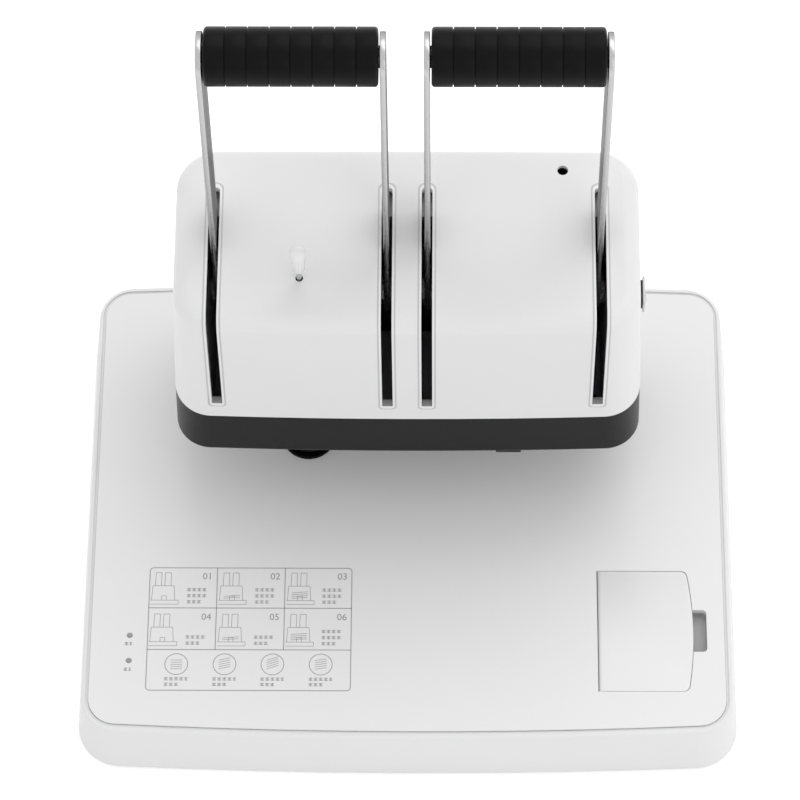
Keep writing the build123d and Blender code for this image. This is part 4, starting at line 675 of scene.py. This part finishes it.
class BINDER_OT_table_print(bpy.types.Operator):
    """Print the grey panel of lines, numbers and simple shapes on the table"""

    bl_idname = "binder.table_print"
    bl_label = "Table print"

    # Places of the panel's lines, in millimetres from the middle of the base
    columns = (-153.1, -112.9, -72.7, -32.9)
    rows = (-40.35, -66.75, -93.65, -119.95)

    def machine_sketch(self, bm, x, y, stack, height):
        """A plain line drawing of a box on a base with two posts, and sheets in front of it."""
        for start, end in (
            ((0, 0), (16.5, 0)),
            ((0, 2.6), (16.5, 2.6)),
            ((16.5, 0), (16.5, 2.6)),
            ((0.6, 2.6), (1.2, 12.0)),
            ((14.4, 2.6), (13.8, 12.0)),
            ((1.2, 12.0), (13.8, 12.0)),
            ((2.6, 12.0), (2.9, 20.5)),
            ((6.2, 12.0), (6.3, 20.5)),
            ((2.9, 20.5), (6.3, 20.5)),
            ((8.2, 12.0), (8.4, 20.5)),
            ((11.9, 12.0), (11.9, 20.5)),
            ((8.4, 20.5), (11.9, 20.5)),
            ((6.6, 2.6), (6.6, 5.4)),
            ((6.6, 5.4), (9.4, 5.4)),
            ((9.4, 5.4), (9.4, 2.6)),
        ):
            first, last = (x + start[0], y + start[1]), (x + end[0], y + end[1])
            print_bar(bm, first, last, SKETCH_LINE, height)
        for sheet in range(stack):
            low = y + 4.0 + 1.2 * sheet
            print_bar(bm, (x + 3.0, low), (x + 12.6, low + 0.7), SKETCH_LINE, height)

    def sheet_sketch(self, bm, x, y, slant, height):
        """A few slanting lines for a stack of sheets."""
        for line in range(5):
            low = y - 2.8 + 1.4 * line
            print_bar(bm, (x - 3.4, low), (x + 3.4, low + slant), SKETCH_LINE, height)

    def frame_lines(self, bm, width, height):
        """The panel's rounded frame and its inner lines."""
        left, right, top, low = self.columns[0], self.columns[3], self.rows[0], self.rows[3]
        spread = Matrix.Diagonal(((right - left) * MM, (top - low) * MM, 1, 1))
        middle = Matrix.Translation(((left + right) / 2 * MM, (top + low) / 2 * MM, TABLE_TOP))
        grid = bmesh.ops.create_grid(
            bm, x_segments=1, y_segments=1, size=0.5, matrix=middle @ spread
        )
        bevelled = bmesh.ops.bevel(
            bm,
            geom=grid["verts"],
            offset=2.4 * MM,
            segments=6,
            profile=0.5,
            affect="VERTICES",
            material=-1,
        )
        faces = list({face for vert in bevelled["verts"] for face in vert.link_faces})
        print_ring(bm, faces, width, height)
        for y in self.rows[1:3]:
            print_bar(bm, (left, y), (right, y), width, height)
        for x in self.columns[1:3]:
            print_bar(bm, (x, self.rows[0]), (x, self.rows[2]), width, height)

    def number(self, bm, body, centre, tall, height):
        """A plain number, made of flat text that is meshed before it is placed."""
        size_per_digit_height = 1.42
        text = bpy.data.curves.new("number", "FONT")
        text.body = body
        text.size = tall * size_per_digit_height * MM
        text.align_x = "CENTER"
        text.align_y = "CENTER"
        text.resolution_u = 3
        holder = bpy.data.objects.new("number", text)
        bpy.context.scene.collection.objects.link(holder)
        bpy.context.view_layer.update()
        mesh = bpy.data.meshes.new_from_object(holder)
        bpy.data.objects.remove(holder)
        before = set(bm.faces)
        bm.from_mesh(mesh)
        faces = [face for face in bm.faces if face not in before]
        verts = list({vert for face in faces for vert in face.verts})
        bmesh.ops.translate(bm, vec=(centre[0] * MM, centre[1] * MM, TABLE_TOP), verts=verts)
        flat_raise(bm, faces, height)

    def cells(self, bm, height):
        """Six numbered cells, each with a sketch and a block of plain marks."""
        for cell in range(6):
            column, row = cell % 3, cell // 3
            right, top = self.columns[column + 1], self.rows[row]
            left, low = self.columns[column], self.rows[row + 1]
            self.number(bm, "0" + str(cell + 1), (right - 5.8, top - 5.9), 4.2, height)
            self.machine_sketch(bm, left + 1.0, low + 2.4, column * 2, height)
            rows, first_row = (3, 11.9) if row == 0 or cell == 5 else (2, 8.1)
            words_left, words_width = right - 17.6, 12.8
            print_words(bm, words_left, words_left + words_width, low + first_row, rows, height)

    def rings(self, bm, height):
        """A row of circles, each with a sketch in it and two rows of marks under it."""
        radius, ring_y, words_y = 6.9, -103.0, -112.4
        for x, slant in ((-135.4, 0.0), (-107.1, 1.6), (-79.0, 2.4), (-50.7, 1.0)):
            print_circle(bm, (x, ring_y), radius, 0.42 * MM, height)
            self.sheet_sketch(bm, x, ring_y - 0.2, slant, height)
            print_words(bm, x - radius, x + radius, words_y, 2, height, pitch=3.5)

    def execute(self, context):
        width, height = sizes().line_width, sizes().ink_height
        bm = bmesh.new()
        self.frame_lines(bm, width, height)
        self.cells(bm, height)
        self.rings(bm, height)
        # A few marks beside each of the two lights
        for y in (-90.0, -106.4):
            print_words(bm, -166.2, -160.2, y, 1, height)
        bmesh.ops.recalc_face_normals(bm, faces=bm.faces)
        ink = tuple(colours().ink)
        # Screen printed ink: matt, and a little uneven where it lies thinner
        finish = new_finish("grey_screen_print", ink, 0.6)
        material = grained(finish, ink, 1.5 * MM, 0.002 * MM, 0.06, (0.55, 0.7))
        place_piece(bm, "table_print", "base", "table_laminate", material=material)
        return {"FINISHED"}


class BINDER_OT_screws(bpy.types.Operator):
    """Cut a cross recess into every screw head"""

    bl_idname = "binder.screws"
    bl_label = "Screws"

    depth: length_property("Depth", "Depth of a cross recess", 0.8 * MM)

    # Reach of a cross arm and half its width, as shares of the head's radius
    arm_reach = 0.62
    arm_half = 0.15

    def head_face(self, group):
        """The flat outer face of a screw's head: the larger of its two ends."""
        ends = []
        for face in {face for vert in group for face in vert.link_faces}:
            level = face.calc_center_median().dot(face.normal) + MERGE_DISTANCE
            if all(vert.co.dot(face.normal) < level for vert in group):
                ends.append(face)
        return max(ends, key=lambda face: face.calc_area())

    def recess(self, bm, face):
        """Opens the face and sinks a cross into it."""
        centre, normal = face.calc_center_bounds(), face.normal.copy()
        across = normal.orthogonal().normalized()
        along = normal.cross(across)
        radius = max((vert.co - centre).length for vert in face.verts)
        reach, half = self.arm_reach * radius, self.arm_half * radius
        ring = list(face.edges)
        bmesh.ops.delete(bm, geom=[face], context="FACES_ONLY")
        verts = []
        for turn in range(4):
            # One arm of the cross, turned by a quarter each time
            for x, y in ((half, half), (reach, half), (reach, -half)):
                for _ in range(turn):
                    x, y = y, -x
                verts.append(bm.verts.new(centre + across * x + along * y))
        rim = [bm.edges.new(pair) for pair in zip(verts, verts[1:] + verts[:1])]
        bmesh.ops.triangle_fill(bm, use_beauty=True, edges=ring + rim, normal=normal)
        made = bmesh.ops.extrude_edge_only(bm, edges=rim)["geom"]
        low_verts = [item for item in made if isinstance(item, bmesh.types.BMVert)]
        made_edges = [item for item in made if isinstance(item, bmesh.types.BMEdge)]
        low_edges = [edge for edge in made_edges if set(edge.verts) <= set(low_verts)]
        bmesh.ops.translate(bm, vec=-normal * self.depth, verts=low_verts)
        bmesh.ops.contextual_create(bm, geom=low_edges)

    def execute(self, context):
        for node in ("base_screws", "casing_screws"):
            bm = copied(node)
            bm.normal_update()
            for group in islands(bm):
                self.recess(bm, self.head_face(group))
            bmesh.ops.recalc_face_normals(bm, faces=bm.faces)
            smooth(place_piece(bm, node + "_recessed", "base", slot_of(node), node))
        return {"FINISHED"}


class BINDER_OT_stage(bpy.types.Operator):
    """Set the floor, the soft studio light and the camera"""

    bl_idname = "binder.stage"
    bl_label = "Stage"

    fill: bpy.props.FloatProperty(name="Fill", description="Even light all round", default=0.87)
    front: bpy.props.FloatProperty(name="Front lamp", description="Its power in watts", default=8.0)
    back: bpy.props.FloatProperty(name="Back lamp", description="Its power in watts", default=17.0)

    # The photo's camera, solved from its perspective: millimetres, metres and degrees
    focal_length = 176.3
    sensor_width = 36
    camera_place = (0.02095, -1.0392, 2.1447)
    camera_turns = ((1.366, "Z"), (27.895, "X"), (-1.060, "Z"))

    # Glow that brings the lit floor up to white where it is seen directly
    floor_glow = 0.42

    def seen_directly(self, tree):
        """1 for camera, glossy and transmission rays, which shall see a white background."""
        path = add(tree, "LightPath")
        seen = path.outputs["Is Camera Ray"]
        for name in ("Is Glossy Ray", "Is Transmission Ray"):
            either = {0: seen, 1: path.outputs[name]}
            seen = add(tree, "Math", either, operation="MAXIMUM").outputs[0]
        return seen

    def lamp(self, name, place, target, width, power):
        """A large soft lamp that looks at a point."""
        data = bpy.data.lights.new(name, "AREA")
        data.shape = "SQUARE"
        data.size = width
        data.energy = power
        lamp = bpy.data.objects.new(name, data)
        bpy.context.scene.collection.objects.link(lamp)
        lamp.location = place
        aim = Vector(target) - Vector(place)
        lamp.rotation_euler = aim.to_track_quat("-Z", "Y").to_euler()

    def floor(self):
        """A wide pale floor that keeps the object's shadow and is white for the camera."""
        bm = bmesh.new()
        bmesh.ops.create_grid(bm, x_segments=8, y_segments=8, size=4)
        mesh = bpy.data.meshes.new("floor")
        bm.to_mesh(mesh)
        bm.free()
        floor = bpy.data.objects.new("floor", mesh)
        bpy.context.scene.collection.objects.link(floor)
        colour = srgb("#F2F2F2")
        finish = new_finish("studio_floor", colour, 0.9)
        material = grained(finish, colour, 40 * MM, 0.0, 0.004, (0.88, 0.92))
        _, tree, shader, _ = finish
        glow = {0: self.seen_directly(tree), 1: self.floor_glow}
        strength = add(tree, "Math", glow, operation="MULTIPLY").outputs[0]
        lift = add(tree, "Emission", {"Strength": strength}).outputs[0]
        total = add(tree, "AddShader", {0: shader.outputs[0], 1: lift}).outputs[0]
        tree.links.new(total, tree.nodes["Material Output"].inputs["Surface"])
        mesh.materials.append(material)

    def world(self):
        """Even light of the fill's strength, seen as plain white."""
        world = bpy.data.worlds.new("studio")
        world.use_nodes = True
        tree = world.node_tree
        span = {"Value": self.seen_directly(tree), "To Min": self.fill, "To Max": 1.0}
        strength = add(tree, "MapRange", span).outputs["Result"]
        tree.links.new(strength, tree.nodes["Background"].inputs["Strength"])
        tree.nodes["Background"].inputs["Color"].default_value = (1, 1, 1, 1)
        bpy.context.scene.world = world

    def camera(self):
        """Stands where the photo's camera stood."""
        data = bpy.data.cameras.new("camera")
        data.lens = self.focal_length
        data.sensor_width = self.sensor_width
        camera = bpy.data.objects.new("camera", data)
        bpy.context.scene.collection.objects.link(camera)
        turn = Matrix.Identity(4)
        for angle, axis in self.camera_turns:
            turn = turn @ Matrix.Rotation(math.radians(angle), 4, axis)
        camera.matrix_world = Matrix.Translation(self.camera_place) @ turn
        bpy.context.scene.camera = camera

    def execute(self, context):
        context.scene.view_settings.view_transform = "Standard"
        self.floor()
        self.world()
        self.camera()
        self.lamp("front_lamp", (1.6, -2.0, 1.3), (0, 0, 0.12), 2.4, self.front)
        self.lamp("rear_lamp", (0.6, 1.2, 2.5), (0, 0, 0.15), 2.2, self.back)
        return {"FINISHED"}


class BINDER_PT_panel(bpy.types.Panel):
    """Lists the machine's pieces in the order in which they are made"""

    bl_idname = "BINDER_PT_panel"
    bl_label = "Binding machine"
    bl_space_type = "VIEW_3D"
    bl_region_type = "UI"
    bl_category = "Binding machine"

    def draw(self, context):
        for group in (context.scene.binder_colours, context.scene.binder_sizes):
            for name in group.bl_rna.properties.keys():
                if name not in ("rna_type", "name"):
                    self.layout.prop(group, name)
        for operator in OPERATORS:
            self.layout.operator(operator.bl_idname)


OPERATORS = (
    BINDER_OT_finishes,
    BINDER_OT_levers,
    BINDER_OT_grips,
    BINDER_OT_casing,
    BINDER_OT_slot_trims,
    BINDER_OT_screws,
    BINDER_OT_table_print,
    BINDER_OT_stage,
)
CLASSES = (BinderColours, BinderSizes, *OPERATORS, BINDER_PT_panel)


def register():
    for item in CLASSES:
        bpy.utils.register_class(item)
    bpy.types.Scene.binder_colours = bpy.props.PointerProperty(type=BinderColours)
    bpy.types.Scene.binder_sizes = bpy.props.PointerProperty(type=BinderSizes)


def unregister():
    del bpy.types.Scene.binder_sizes
    del bpy.types.Scene.binder_colours
    for item in reversed(CLASSES):
        bpy.utils.unregister_class(item)


def main():
    """Makes every piece and the stage."""
    register()
    for operator in OPERATORS:
        group, name = operator.bl_idname.split(".")
        getattr(getattr(bpy.ops, group), name)()


if __name__ == "__main__":
    main()
